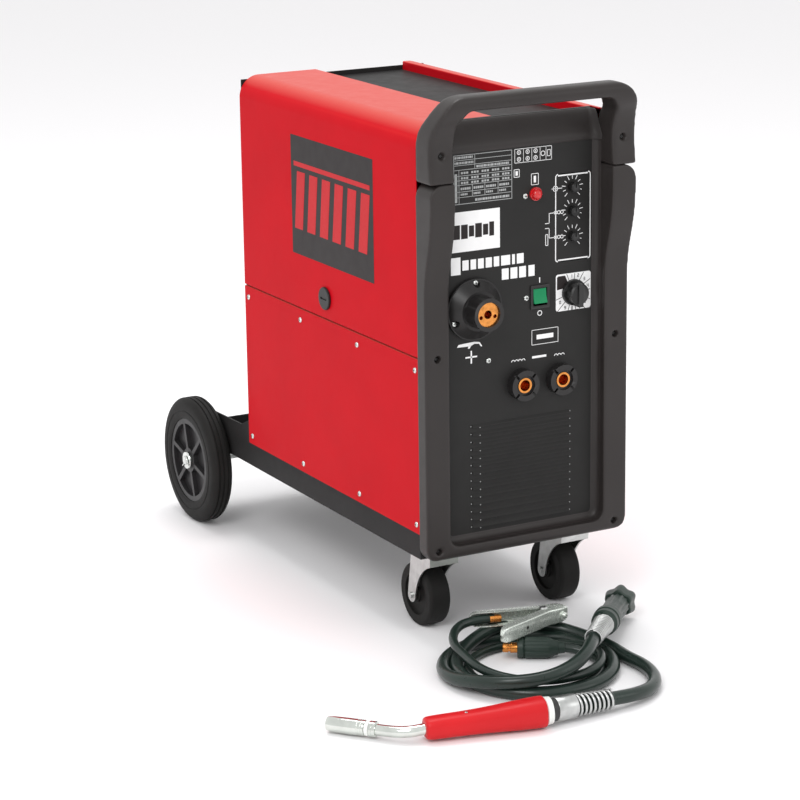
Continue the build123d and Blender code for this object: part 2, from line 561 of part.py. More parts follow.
for side, place in ((-1, "left"), (1, "right")):
    near = min(side * wheel_inner_x, side * (wheel_inner_x + wheel_width))
    with BuildPart() as rear_tyre:
        rod("X", (near, axle_y, axle_z), wheel_radius, wheel_width)
        fillet(rear_tyre.edges().filter_by(GeomType.CIRCLE), 7)
        rod("X", (near - 1, axle_y, axle_z), hub_radius, wheel_width + 2, Mode.SUBTRACT)
    save(f"rear_tyre_{place}", rear_tyre.part)
    with BuildPart() as rear_hub:
        rod("X", (near + 2, axle_y, axle_z), hub_radius, wheel_width - 4)
        for face in (near + 2, near + wheel_width - 9):
            rod("X", (face, axle_y, axle_z), hub_radius - 7, 7, Mode.SUBTRACT)
            rod("X", (face, axle_y, axle_z), 17, 7)
            for spoke in range(6):
                angle = radians(60 * spoke + 15)
                spot = (face + 3.5, axle_y + 34 * cos(angle), axle_z + 34 * sin(angle))
                with Locations(Location(spot, (degrees(angle), 0, 0))):
                    Box(7, 38, 6)
        rod("X", (near - 1, axle_y, axle_z), axle_radius + slip, wheel_width + 2, Mode.SUBTRACT)
    save(f"rear_hub_{place}", rear_hub.part)

# ---- front casters ---------------------------------------------------------------------
caster_y = front_y + caster_back
plate_low = base_bottom - 3
race_low = plate_low - 6
head_top = race_low - 0.5
fork_head = 88.0            # underside of the fork's head
king_pin = 6.0
caster_half = 14.5          # half the wheel's width
fork_half = 17.5
caster_axle_y = caster_y + caster_trail
with BuildPart() as caster_plates:
    for x in (-caster_x, caster_x):
        cuboid((x - 32, x + 32), (caster_y - 30, caster_y + 30), (plate_low, base_bottom))
        rod("Z", (x, caster_y, race_low), 23, 6)
        rod("Z", (x, caster_y, race_low - 1), king_pin + slip, 12, Mode.SUBTRACT)
        for dx in (-24, 24):
            for dy in (-22, 22):
                rod("Z", (x + dx, caster_y + dy, plate_low - 4), 5, 4.5)
save("caster_plates", caster_plates.part)

for side, place in ((-1, "left"), (1, "right")):
    x = side * caster_x
    with BuildPart() as caster_fork:
        with BuildSketch(Plane.YZ.offset(x)) as fork_side:
            with BuildLine():
                nose_edge = Line((caster_y - 22, head_top), (caster_y - 21, fork_head))
                gusset = Bezier(nose_edge @ 1, (caster_y - 2, fork_head - 6), (caster_axle_y - 12, 62),
                                (caster_axle_y - 9, caster_radius))
                heel = RadiusArc(gusset @ 1, (caster_axle_y + 9, caster_radius), -9)
                rise = Line(heel @ 1, (caster_y + 29, fork_head - 12))
                Polyline(rise @ 1, (caster_y + 25, head_top), nose_edge @ 0)
            make_face()
        extrude(fork_side.sketch, amount=fork_half + 2.5, both=True)
        cuboid((x - fork_half, x + fork_half), (caster_y - 60, caster_y + 90), (0, fork_head),
               Mode.SUBTRACT)
        rod("X", (x - fork_half - 5, caster_axle_y, caster_radius), 4, 2 * fork_half + 10)
        rod("Z", (x, caster_y, head_top - 1), king_pin, 9.5)
    save(f"caster_fork_{place}", caster_fork.part)
    with BuildPart() as caster_wheel:
        rod("X", (x - caster_half, caster_axle_y, caster_radius), caster_radius, 2 * caster_half)
        fillet(caster_wheel.edges().filter_by(GeomType.CIRCLE), 5)
        for face in (x - caster_half, x + caster_half - 4):
            rod("X", (face, caster_axle_y, caster_radius), 26, 4, Mode.SUBTRACT)
            rod("X", (face, caster_axle_y, caster_radius), 10, 4)
        rod("X", (x - 20, caster_axle_y, caster_radius), 4 + slip, 40, Mode.SUBTRACT)
    save(f"caster_wheel_{place}", caster_wheel.part)

# ---- screws of the covers, the panel, the sockets and the frame ------------------------
with BuildPart() as screws:
    for back in side_columns:
        for height in side_rows:
            rod("X", from_front(-half_width - 2.2, back, height), 3.8, 2.2)
            rod("X", from_front(-half_width - 0.5, back, height), 1.9, sheet + 0.5)
        for height in right_rows:
            rod("X", from_front(half_width, back, height), 3.8, 2.2)
            rod("X", from_front(half_width - sheet, back, height), 1.9, sheet + 0.5)
    for x, z in panel_screws:
        rod("Y", (x, panel_y - 2.2, z), 3.8, 2.2)
        rod("Y", (x, panel_y - 0.5, z), 1.9, sheet + 0.5)
    for x, z in flange_screws:
        rod("Y", (x, panel_y - 8, z), 3.6, 2.5)
    for x, z in frame_screws:
        rod("Y", (x, front_y - rim + 4, z), 4.0, 4)
    for x, z in handle_screws:
        rod("Y", (x, front_y - 31, z), 4.0, 3)
save("screws", screws.part)

# ---- torch lead: connector, cable, torch -----------------------------------------------
# The lead lies on the floor in front of the machine. Its route's points are hand-chosen.
coil_centre = (-66.0, -144.0)
torch_coil = (86.0, 118.0, 16.4)     # inner radius, outer radius, height
earth_coil = (74.6, 85.7, 22.6)
connector_route = [(-12, -186, 44), (-38, -214, 39.5), (-73, -231, 32), (-111, -229, 26), (-145, -211, 23),
                   (-167, -182, 19), (-177, -146, 12), (-172, -110, 9)]
torch_route = [(40, -180, 9), (44, -214, 8.2), (33, -252, 8.2), (8, -282, 10), (-26, -296.5, 13.5),
               (-58, -297, 15)]
plug_route = [(-12, -124, 13), (0, -131.5, 11), (7.6, -143.5, 8), (10.6, -157.5, 6), (8.8, -171.8, 5.6)]
clamp_route = [(-142, -113, 22.4), (-139, -76, 26.5), (-122, -50, 33), (-95.8, -40, 37), (-66, -48.6, 37)]


def fitted_radii(points):
    """The largest tangent arcs that each corner's two runs allow."""
    spots = [Vector(*p) for p in points]
    runs = [b - a for a, b in zip(spots, spots[1:])]
    return [0.45 * min(a.length, b.length) / tan(radians(a.get_angle(b)) / 2)
            for a, b in zip(runs, runs[1:])]


def cord_tube(points, diameter, label):
    """A round tube along straight runs and tangent arcs, checked against its length."""
    spots = [from_front(*p) for p in points]
    bends = fitted_radii(spots)
    with BuildPart() as tube:
        with BuildLine() as route:
            FilletPolyline(*spots, radius=bends)
        line = route.wire()
        with BuildSketch(Plane(origin=line @ 0, z_dir=line % 0)) as section:
            Circle(diameter / 2)
        sweep(section.sketch, path=line)
    wanted = pi * diameter ** 2 / 4 * line.length
    print(f"{label}: length {line.length:.1f}, bend radii {[round(r) for r in bends]},",
          f"volume {tube.part.volume / wanted:.4f} of section x length")
    return tube.part


def coil_ring(size):
    """The closed outer shape of a coil that lies on the floor."""
    inner_radius, outer_radius, height = size
    with BuildPart() as ring:
        with BuildSketch(Plane.XY):
            with Locations((coil_centre[0], front_y + coil_centre[1])):
                Circle(outer_radius)
                Circle(inner_radius, mode=Mode.SUBTRACT)
        extrude(amount=height)
        fillet(ring.edges().filter_by(GeomType.CIRCLE), 5)
    return ring.part


save("torch_cable", Compound(children=[cord_tube(connector_route, torch_d, "torch lead, connector end"),
                                       cord_tube(torch_route, torch_d, "torch lead, torch end")]))
save("torch_cable_coil", coil_ring(torch_coil))
save("earth_cable", Compound(children=[cord_tube(plug_route, earth_d, "earth lead, plug end"),
                                       cord_tube(clamp_route, earth_d, "earth lead, clamp end")]))
save("earth_cable_coil", coil_ring(earth_coil))


def frame_between(start, end):
    """A plane at start, its z along the way to end."""
    a, b = Vector(*from_front(*start)), Vector(*from_front(*end))
    return Plane(origin=a, x_dir=Vector(0, 0, 1).cross(b - a), z_dir=b - a), (b - a).length


nut_face = (126, -34.5, 21)
connector_plane, connector_length = frame_between(nut_face, connector_route[0])
nut_length, nut_radius, body_radius = 26.0, 17.5, 13.5
spring_length = 78.0
with BuildPart(connector_plane) as torch_connector:
    at_start = (Align.CENTER, Align.CENTER, Align.MIN)
    with Locations((0, 0, 3)):
        Cylinder(body_radius - 2.5, nut_length + 1, align=at_start)
    with Locations((0, 0, nut_length + 3.5)):
        Cylinder(body_radius + 1.5, 12, align=at_start)
    with Locations((0, 0, nut_length + 14)):
        Cylinder(body_radius, connector_length - nut_length - 14 - spring_length + 1, align=at_start)
    with Locations((0, 0, connector_length - spring_length)):
        Cone(13, 9.6, spring_length, align=at_start)
    with Locations((0, 0, -12)):
        Cylinder(5, 20, align=at_start)
save("torch_connector", torch_connector.part)

with BuildPart(connector_plane) as connector_nut:
    Cylinder(nut_radius, nut_length, align=(Align.CENTER, Align.CENTER, Align.MIN))
    with PolarLocations(nut_radius, 6):
        Cylinder(3.4, nut_length, align=(Align.CENTER, Align.CENTER, Align.MIN))
    Cylinder(body_radius - 2.5 + slip, 80, mode=Mode.SUBTRACT)
save("connector_nut", connector_nut.part)

# torch: spring and collar, handle, neck, nozzle
handle_back, handle_front = (-148, -298, 18.5), (-285, -268.6, 15)
collar_plane, collar_length = frame_between(torch_route[-1], handle_back)
handle_plane, handle_length = frame_between(handle_back, handle_front)
with BuildPart(collar_plane) as torch_spring:
    Cone(9.2, 11.5, 54, align=(Align.CENTER, Align.CENTER, Align.MIN))
    with Locations((0, 0, 53)):
        Cylinder(13, 26, align=(Align.CENTER, Align.CENTER, Align.MIN))
    with Locations((0, 0, 78)):
        Cone(11, 13.5, collar_length - 78, align=(Align.CENTER, Align.CENTER, Align.MIN))
save("torch_spring", torch_spring.part)

trigger_at, trigger_span = 104.0, 34.0
with BuildPart() as torch_handle:
    for along, wide, tall in ((0, 30, 35), (14, 30, 35.5), (60, 25, 29), (105, 23, 27),
                              (handle_length, 22, 26)):
        station = Plane(origin=handle_plane.from_local_coords((0, 0, along)), x_dir=handle_plane.x_dir,
                        z_dir=handle_plane.z_dir)
        with BuildSketch(station):
            RectangleRounded(tall, wide, 0.42 * wide)
    loft()
    with BuildSketch(handle_plane.offset(trigger_at - 1)) as pocket:
        with Locations((-8.5, 0)):
            Rectangle(12, 9.4)
    extrude(pocket.sketch, amount=trigger_span + 2, mode=Mode.SUBTRACT)
save("torch_handle", torch_handle.part)

with BuildPart(handle_plane.offset(trigger_at)) as torch_trigger:
    with Locations((-12.0, 0, 0)):
        Box(10, 8.6, trigger_span, align=(Align.CENTER, Align.CENTER, Align.MIN))
    fillet(torch_trigger.edges().filter_by(lambda e: e.length < 9).sort_by(
        lambda e: handle_plane.to_local_coords(e.center()).X)[:2], 2)
save("torch_trigger", torch_trigger.part)

neck_radius = 7.5
nozzle_radius = 10.0
neck_points = [handle_front, (-300, -265, 13.5), (-316, -251, 12), (-327, -234, 11)]
nozzle_tip = (-364, -189, 10.2)
with BuildPart() as torch_neck:
    spots = [from_front(*p) for p in neck_points]
    with BuildLine() as neck_path:
        FilletPolyline(*spots, radius=[26, 30])
    bend = neck_path.wire()
    with BuildSketch(Plane(origin=bend @ 0, z_dir=bend % 0)) as neck_section:
        Circle(neck_radius)
    sweep(neck_section.sketch, path=bend)
save("torch_neck", torch_neck.part)

nozzle_plane, nozzle_length = frame_between(neck_points[-1], nozzle_tip)
with BuildPart(nozzle_plane) as torch_nozzle:
    Cylinder(10.0, 7, align=(Align.CENTER, Align.CENTER, Align.MIN))
    with Locations((0, 0, 7)):
        Cylinder(9.0, 5, align=(Align.CENTER, Align.CENTER, Align.MIN))
    with Locations((0, 0, 12)):
        Cylinder(nozzle_radius, nozzle_length - 26, align=(Align.CENTER, Align.CENTER, Align.MIN))
    with Locations((0, 0, nozzle_length - 14)):
        Cone(nozzle_radius, 8.5, 14, align=(Align.CENTER, Align.CENTER, Align.MIN))
    with Locations((0, 0, nozzle_length - 30)):
        Cylinder(7.0, 40, mode=Mode.SUBTRACT, align=(Align.CENTER, Align.CENTER, Align.MIN))
    with Locations((0, 0, nozzle_length - 32)):
        Cylinder(4.0, 29, align=(Align.CENTER, Align.CENTER, Align.MIN))
save("torch_nozzle", torch_nozzle.part)

# ---- earth lead: plug and clamp --------------------------------------------------------
plug_tip = (-76, -86, 13)
plug_plane, plug_length = frame_between(plug_tip, plug_route[0])
with BuildPart(plug_plane) as earth_plug:
    Cylinder(6.4, 20, align=(Align.CENTER, Align.CENTER, Align.MIN))
    with Locations((0, 0, 18)):
        Cylinder(11.8, plug_length - 30, align=(Align.CENTER, Align.CENTER, Align.MIN))
    with Locations((0, 0, plug_length - 12)):
        Cone(11.8, 8.0, 12, align=(Align.CENTER, Align.CENTER, Align.MIN))
save("earth_plug", earth_plug.part)

clamp_pivot = (-10.0, -71.0)
clamp_low, clamp_high = 27.0, 47.0
arm_reach, arm_tail = 90.0, 6.0      # handle ends, from the pivot and behind it
arm_wall = 1.8
ear_radius, ear_sheet = 7.0, 1.8


def clamp_arm(heading, side, ears, pin):
    """One pressed channel: a handle that leaves the pivot at a heading, a jaw along +X, two ears."""
    pivot = from_front(*clamp_pivot, clamp_low)
    tall = clamp_high - clamp_low
    with BuildPart() as arm:
        handle_frame = Plane(origin=pivot, x_dir=(cos(radians(heading)), sin(radians(heading)), 0),
                             z_dir=(0, 0, 1))
        with BuildSketch(handle_frame) as handle_shape:
            with Locations(((arm_reach - arm_tail) / 2, -side * 7.5)):
                Rectangle(arm_reach + arm_tail, 11)
        extrude(handle_shape.sketch, amount=tall)
        with BuildSketch(Plane(origin=pivot, z_dir=(0, 0, 1))) as jaw_shape:
            with Locations((14, side * 6.4)):
                Rectangle(36, 11.6)
        extrude(jaw_shape.sketch, amount=tall)
        inside = handle_frame.offset(arm_wall)
        with BuildSketch(inside) as hollow:
            with Locations(((arm_reach - arm_tail) / 2 + 1, -side * 5.5)):
                Rectangle(arm_reach + arm_tail + 4, 12)
        extrude(hollow.sketch, amount=tall - 2 * arm_wall, mode=Mode.SUBTRACT)
        with BuildSketch(Plane(origin=pivot, z_dir=(0, 0, 1)).offset(arm_wall)) as jaw_hollow:
            with Locations((10, side * 5.5)):
                Rectangle(36, 11)
        extrude(jaw_hollow.sketch, amount=tall - 2 * arm_wall, mode=Mode.SUBTRACT)
        with Locations((pivot[0], pivot[1], clamp_low)):
            Cylinder(ear_radius + 0.6, 60, mode=Mode.SUBTRACT)
        for low in ears:
            with Locations((pivot[0], pivot[1], clamp_low + low)):
                Cylinder(ear_radius, ear_sheet, align=(Align.CENTER, Align.CENTER, Align.MIN))
            with Locations((pivot[0], pivot[1] + side * 6.5, clamp_low + low + ear_sheet / 2)):
                Box(10, 11, ear_sheet)
        if pin:
            with Locations((pivot[0], pivot[1], clamp_low - 1)):
                Cylinder(3, tall + 2, align=(Align.CENTER, Align.CENTER, Align.MIN))
        else:
            with Locations((pivot[0], pivot[1], clamp_low)):
                Cylinder(3 + slip, 60, mode=Mode.SUBTRACT)
    return arm.part


save("clamp_upper", clamp_arm(164, 1, (0, 18.2), True))
save("clamp_lower", clamp_arm(199.4, -1, (2.2, 16.0), False))
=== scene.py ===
"""Looks of the wheeled MIG welding machine and its two leads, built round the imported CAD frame."""
import math
import bpy
import bmesh
from mathutils import Matrix, Vector


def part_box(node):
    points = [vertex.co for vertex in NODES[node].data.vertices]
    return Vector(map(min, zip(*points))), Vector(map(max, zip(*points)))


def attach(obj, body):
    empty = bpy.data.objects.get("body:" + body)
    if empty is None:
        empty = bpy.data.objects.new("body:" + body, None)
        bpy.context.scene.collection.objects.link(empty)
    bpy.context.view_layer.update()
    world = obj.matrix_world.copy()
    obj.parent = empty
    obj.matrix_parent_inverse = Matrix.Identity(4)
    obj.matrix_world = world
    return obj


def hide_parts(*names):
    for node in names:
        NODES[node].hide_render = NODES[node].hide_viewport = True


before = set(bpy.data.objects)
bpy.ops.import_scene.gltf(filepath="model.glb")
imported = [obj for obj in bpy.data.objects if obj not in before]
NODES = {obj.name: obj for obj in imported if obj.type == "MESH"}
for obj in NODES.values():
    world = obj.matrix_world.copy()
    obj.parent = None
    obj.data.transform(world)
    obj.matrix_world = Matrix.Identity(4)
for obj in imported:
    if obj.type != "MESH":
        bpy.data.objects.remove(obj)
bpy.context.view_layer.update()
SCENE = bpy.context.scene
MM = 0.001
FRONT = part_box("right_cover")[0].y          # front edge of the covers
PANEL = FRONT - 3 * MM                      # outer face of the front panel
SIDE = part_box("right_cover")[1].x / MM      # half the covers' width, in millimetres


def at(x, back, z):
    """A point in metres from millimetres, its y counted from the front edge of the covers."""
    return Vector((x * MM, FRONT + back * MM, z * MM))


# ---- camera, floor and light -----------------------------------------------------------------------
CAMERA_SPOT = (-1.65729, -3.07449, 1.15920)
CAMERA_TURN = (28.45, -15.12, -0.78)        # yaw from +Y towards +X, pitch and roll, in degrees
CAMERA_LENS = 123.84


def add_camera():
    """A long lens from the machine's front left, a little above it."""
    yaw, pitch, roll = (math.radians(angle) for angle in CAMERA_TURN)
    ahead = Vector((math.sin(yaw) * math.cos(pitch), math.cos(yaw) * math.cos(pitch), math.sin(pitch)))
    right = ahead.cross(Vector((0, 0, 1))).normalized()
    up = right.cross(ahead)
    side = math.cos(roll) * right + math.sin(roll) * up
    top = -math.sin(roll) * right + math.cos(roll) * up
    data = bpy.data.cameras.new("camera")
    data.lens = CAMERA_LENS
    data.clip_end = 50
    camera = bpy.data.objects.new("camera", data)
    camera.matrix_world = Matrix.Translation(CAMERA_SPOT) @ Matrix((side, top, -ahead)).transposed().to_4x4()
    SCENE.collection.objects.link(camera)
    SCENE.camera = camera


def add_light(name, place, target, size, power):
    """A soft rectangular lamp that points at a target."""
    data = bpy.data.lights.new(name, "AREA")
    data.shape = "RECTANGLE"
    data.size, data.size_y = size
    data.energy = power
    light = bpy.data.objects.new(name, data)
    light.location = place
    light.rotation_euler = (Vector(target) - Vector(place)).to_track_quat("-Z", "Y").to_euler()
    SCENE.collection.objects.link(light)


def add_stage():
    """A plain pale floor under an even white sky."""
    mesh = bpy.data.meshes.new("floor")
    far = 30
    mesh.from_pydata([(-far, -far, 0), (far, -far, 0), (far, far, 0), (-far, far, 0)], [], [(0, 1, 2, 3)])
    floor = bpy.data.objects.new("floor", mesh)
    floor_look = bpy.data.materials.new("pale_floor")
    floor_look.use_nodes = True
    shader = floor_look.node_tree.nodes["Principled BSDF"]
    shader.inputs["Base Color"].default_value = (0.90, 0.89, 0.90, 1)
    shader.inputs["Roughness"].default_value = 0.7
    shader.inputs["Specular IOR Level"].default_value = 0.1
    mesh.materials.append(floor_look)
    SCENE.collection.objects.link(floor)
    world = bpy.data.worlds.new("studio")
    world.use_nodes = True
    world.node_tree.nodes["Background"].inputs["Color"].default_value = (1, 1, 1, 1)
    world.node_tree.nodes["Background"].inputs["Strength"].default_value = 0.96
    SCENE.world = world
    SCENE.view_settings.view_transform = "Standard"


# ---- materials -------------------------------------------------------------------------------------
def look(name, colour, rough, metal=0.0, coat=0.0, grain=0.0, grain_size=900.0, shade=0.06,
         shade_size=14.0, rough_spread=0.08, wear=None, specular=0.5, painted_top_sheen=None):
    """A procedural surface: base colour with slow variation, roughness patches and fine bump.

    wear is a lighter colour that shows on convex edges, and painted_top_sheen is a lighter colour on faces
    that look up: a painted reflection in place of the sheen the lamps give top faces.
    """
    made = bpy.data.materials.new(name)
    made.use_nodes = True
    tree = made.node_tree
    shader = tree.nodes["Principled BSDF"]
    link = tree.links.new
    place = tree.nodes.new("ShaderNodeTexCoord")
    slow = tree.nodes.new("ShaderNodeTexNoise")
    slow.inputs["Scale"].default_value = shade_size
    slow.inputs["Detail"].default_value = 6
    link(place.outputs["Object"], slow.inputs["Vector"])
    ramp = tree.nodes.new("ShaderNodeValToRGB")
    darker = [c * (1 - shade) for c in colour]
    lighter = [min(1, c * (1 + shade)) for c in colour]
    ramp.color_ramp.elements[0].position = 0.3
    ramp.color_ramp.elements[0].color = (*darker, 1)
    ramp.color_ramp.elements[1].position = 0.7
    ramp.color_ramp.elements[1].color = (*lighter, 1)
    link(slow.outputs["Fac"], ramp.inputs["Fac"])
    colour_out = ramp.outputs["Color"]
    if wear:
        geometry = tree.nodes.new("ShaderNodeNewGeometry")
        edge = tree.nodes.new("ShaderNodeMapRange")
        edge.inputs["From Min"].default_value = 0.53
        edge.inputs["From Max"].default_value = 0.62
        edge.inputs["To Max"].default_value = 0.35
        link(geometry.outputs["Pointiness"], edge.inputs["Value"])
        mix = tree.nodes.new("ShaderNodeMix")
        mix.data_type = "RGBA"
        mix.inputs["B"].default_value = (*wear, 1)
        link(edge.outputs["Result"], mix.inputs["Factor"])
        link(colour_out, mix.inputs["A"])
        colour_out = mix.outputs["Result"]
    # painted reflection: faces that look up are mixed towards a lighter colour, in place of the sheen light
    # gives them
    if painted_top_sheen:
        split = tree.nodes.new("ShaderNodeSeparateXYZ")
        upward = tree.nodes.new("ShaderNodeMapRange")
        upward.inputs["From Min"].default_value = 0.55
        upward.inputs["From Max"].default_value = 0.97
        link(place.outputs["Normal"], split.inputs["Vector"])
        link(split.outputs["Z"], upward.inputs["Value"])
        top_sheen_paint = tree.nodes.new("ShaderNodeMix")
        top_sheen_paint.data_type = "RGBA"
        top_sheen_paint.inputs["B"].default_value = (*painted_top_sheen, 1)
        link(upward.outputs["Result"], top_sheen_paint.inputs["Factor"])
        link(colour_out, top_sheen_paint.inputs["A"])
        colour_out = top_sheen_paint.outputs["Result"]
    link(colour_out, shader.inputs["Base Color"])
    patches = tree.nodes.new("ShaderNodeTexNoise")
    patches.inputs["Scale"].default_value = shade_size * 5
    patches.inputs["Detail"].default_value = 4
    link(place.outputs["Object"], patches.inputs["Vector"])
    spread = tree.nodes.new("ShaderNodeMapRange")
    spread.inputs["To Min"].default_value = max(0.02, rough - rough_spread)
    spread.inputs["To Max"].default_value = min(1, rough + rough_spread)
    link(patches.outputs["Fac"], spread.inputs["Value"])
    link(spread.outputs["Result"], shader.inputs["Roughness"])
    if grain:
        fine = tree.nodes.new("ShaderNodeTexNoise")
        fine.inputs["Scale"].default_value = grain_size
        fine.inputs["Detail"].default_value = 3
        bump = tree.nodes.new("ShaderNodeBump")
        bump.inputs["Strength"].default_value = grain
        bump.inputs["Distance"].default_value = 0.0004
        link(place.outputs["Object"], fine.inputs["Vector"])
        link(fine.outputs["Fac"], bump.inputs["Height"])
        link(bump.outputs["Normal"], shader.inputs["Normal"])
    shader.inputs["Metallic"].default_value = metal
    shader.inputs["Specular IOR Level"].default_value = specular
    shader.inputs["Coat Weight"].default_value = coat
    shader.inputs["Coat Roughness"].default_value = 0.08
    return made


# the red paint's up-facing faces are mixed towards a lighter pinkish colour: a painted reflection
RED = look("red_paint", (0.50, 0.003, 0.010), 0.34, grain=0.05, grain_size=420, shade=0.04,
           wear=(0.60, 0.02, 0.02), specular=0.03, painted_top_sheen=(0.55, 0.085, 0.070))
BLACK_PAINT = look("black_paint", (0.019, 0.018, 0.018), 0.42, grain=0.12, grain_size=600, shade=0.12,
                   wear=(0.08, 0.08, 0.08), specular=0.04)
PANEL_BLACK = look("panel_black", (0.017, 0.0165, 0.016), 0.50, grain=0.06, grain_size=700, shade=0.08,
                   specular=0.22)
MOULDING = look("moulding_black", (0.026, 0.022, 0.021), 0.40, grain=0.28, grain_size=1500, shade=0.08,
                wear=(0.08, 0.07, 0.07), specular=0.3)
SOCKET_BLACK = look("socket_black", (0.014, 0.013, 0.013), 0.34, grain=0.1, grain_size=1200, shade=0.1,
                    wear=(0.08, 0.08, 0.08), specular=0.35)
KNOB_BLACK = look("knob_black", (0.010, 0.010, 0.010), 0.38, grain=0.15, grain_size=1300,
                  wear=(0.08, 0.08, 0.08), specular=0.35)
# dark screw heads, and painted shade: the crosses of the bright screw heads and the hole in the clamp arms
SCREW_BLACK_AND_PAINTED_SHADE = look("dark_screw_and_painted_shade", (0.010, 0.009, 0.009), 0.45, metal=0.3, grain=0.1, specular=0.3)
LAMP_RED = look("lamp_red", (0.55, 0.006, 0.008), 0.12, coat=0.6, shade=0.15, shade_size=120)
GREEN = look("rocker_green", (0.0, 0.21, 0.075), 0.35, grain=0.05, shade=0.08, specular=0.3)
BRASS = look("brass", (0.70, 0.28, 0.07), 0.26, metal=1.0, grain=0.2, grain_size=900, shade=0.25,
             shade_size=160)
ZINC = look("zinc", (0.50, 0.51, 0.50), 0.32, metal=1.0, grain=0.2, grain_size=500, shade=0.15, shade_size=90,
            wear=(0.85, 0.85, 0.85))
BRIGHT_ZINC = look("bright_zinc", (0.66, 0.68, 0.66), 0.22, metal=1.0, grain=0.15, grain_size=500, shade=0.15,
                   shade_size=90)
CLAMP_ZINC = look("clamp_zinc", (0.70, 0.75, 0.69), 0.26, metal=0.65, grain=0.06, grain_size=400, shade=0.06,
                  shade_size=70, wear=(0.9, 0.92, 0.9))
CHROME = look("chrome", (0.66, 0.69, 0.65), 0.12, metal=1.0, shade=0.1, shade_size=60, rough_spread=0.05)
LAMINATION = look("laminations", (0.10, 0.09, 0.09), 0.5, metal=0.6, grain=0.5, grain_size=300, shade=0.2)
COPPER = look("copper_winding", (0.45, 0.14, 0.05), 0.35, metal=0.7, grain=0.5, grain_size=500, shade=0.2)
ALUMINIUM = look("aluminium", (0.62, 0.63, 0.64), 0.38, metal=1.0, grain=0.3, grain_size=400, shade=0.1)
BOARD = look("board_green", (0.01, 0.10, 0.03), 0.4, grain=0.4, grain_size=200, shade=0.3, shade_size=60)
REEL = look("reel_plastic", (0.03, 0.03, 0.032), 0.5, grain=0.2, shade=0.1)
WIRE = look("copper_coated_wire", (0.75, 0.34, 0.16), 0.25, metal=1.0, shade=0.2, shade_size=200)
RUBBER = look("wheel_rubber", (0.013, 0.0125, 0.012), 0.60, grain=0.35, grain_size=700, shade=0.15,
              shade_size=30, specular=0.14)
HUB = look("hub_plastic", (0.022, 0.021, 0.022), 0.42, grain=0.15, grain_size=900, shade=0.1,
           wear=(0.09, 0.09, 0.09), specular=0.3)
CABLE = look("cable_rubber", (0.013, 0.024, 0.019), 0.30, coat=0.15, grain=0.12, grain_size=500, shade=0.2,
             shade_size=30, specular=0.35)
LEAD_PLASTIC = look("lead_plastic", (0.014, 0.028, 0.021), 0.40, grain=0.3, grain_size=900, shade=0.15,
                    wear=(0.10, 0.12, 0.11), specular=0.35)
GRIP_RED = look("torch_red", (0.56, 0.006, 0.010), 0.40, grain=0.2, grain_size=1100, shade=0.06,
                wear=(0.66, 0.07, 0.07), specular=0.3)
WHITE = look("white_print", (0.84, 0.84, 0.84), 0.5, shade=0.03, shade_size=60, specular=0.2)
GREY_PRINT = look("grey_print", (0.40, 0.41, 0.41), 0.5, shade=0.05, shade_size=60, specular=0.2)
LABEL_BLACK = look("label_black", (0.020, 0.016, 0.016), 0.45, grain=0.05, shade=0.05, specular=0.2)
LABEL_RED = look("label_red", (0.50, 0.006, 0.012), 0.42, shade=0.04, shade_size=40, specular=0.2)
WHITE_PLASTIC = look("white_plastic", (0.78, 0.80, 0.77), 0.35, grain=0.05, shade=0.05)


# ---- making pieces ---------------------------------------------------------------------------------
def finish_piece(name, bm, material, body, replaces=(), sharp=35, materials=()):
    """A bmesh becomes a piece: smooth shading with sharp edges, a material and a body."""
    bmesh.ops.recalc_face_normals(bm, faces=bm.faces)
    limit = math.radians(sharp)
    for edge in bm.edges:
        edge.smooth = not (len(edge.link_faces) == 2 and edge.calc_face_angle(0) > limit)
    for face in bm.faces:
        face.smooth = True
    mesh = bpy.data.meshes.new(name)
    bm.to_mesh(mesh)
    bm.free()
    for one in (material, *materials):
        mesh.materials.append(one)
    piece = bpy.data.objects.new(name, mesh)
    SCENE.collection.objects.link(piece)
    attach(piece, body)
    if replaces:
        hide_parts(*replaces)
    return piece


def basis(axis, across=None):
    """Three unit vectors; the last one is along the axis."""
    z = Vector(axis).normalized()
    guess = Vector(across) if across else (Vector((0, 0, 1)) if abs(z.z) < 0.9 else Vector((1, 0, 0)))
    x = (guess - guess.dot(z) * z).normalized()
    return x, z.cross(x), z


def millimetres(profile):
    """A profile given in millimetres, in metres."""
    return [(along * MM, radius * MM) for along, radius in profile]


def polar(u, z, radius, angle):
    """The point at a distance and an angle in degrees from (u, z)."""
    return u + radius * math.cos(math.radians(angle)), z + radius * math.sin(math.radians(angle))


def skin(bm, low, high, index):
    """A band of faces between two rings of vertices."""
    count = len(low)
    for k in range(count):
        face = bm.faces.new((low[k], low[(k + 1) % count], high[(k + 1) % count], high[k]))
        face.material_index = index


def cap(bm, ends, index):
    """One face on each ring of vertices."""
    for end in ends:
        bm.faces.new(end).material_index = index


def bridge(bm, rings, index=0, caps=True):
    """Skins neighbouring rings of vertices, and closes both ends."""
    for low, high in zip(rings, rings[1:]):
        skin(bm, low, high, index)
    if caps:
        cap(bm, (rings[0], rings[-1]), index)


def prism(bm, low, high, index=0):
    """Closes the space between two outlines of vertices."""
    cap(bm, (low, high), index)
    skin(bm, low, high, index)


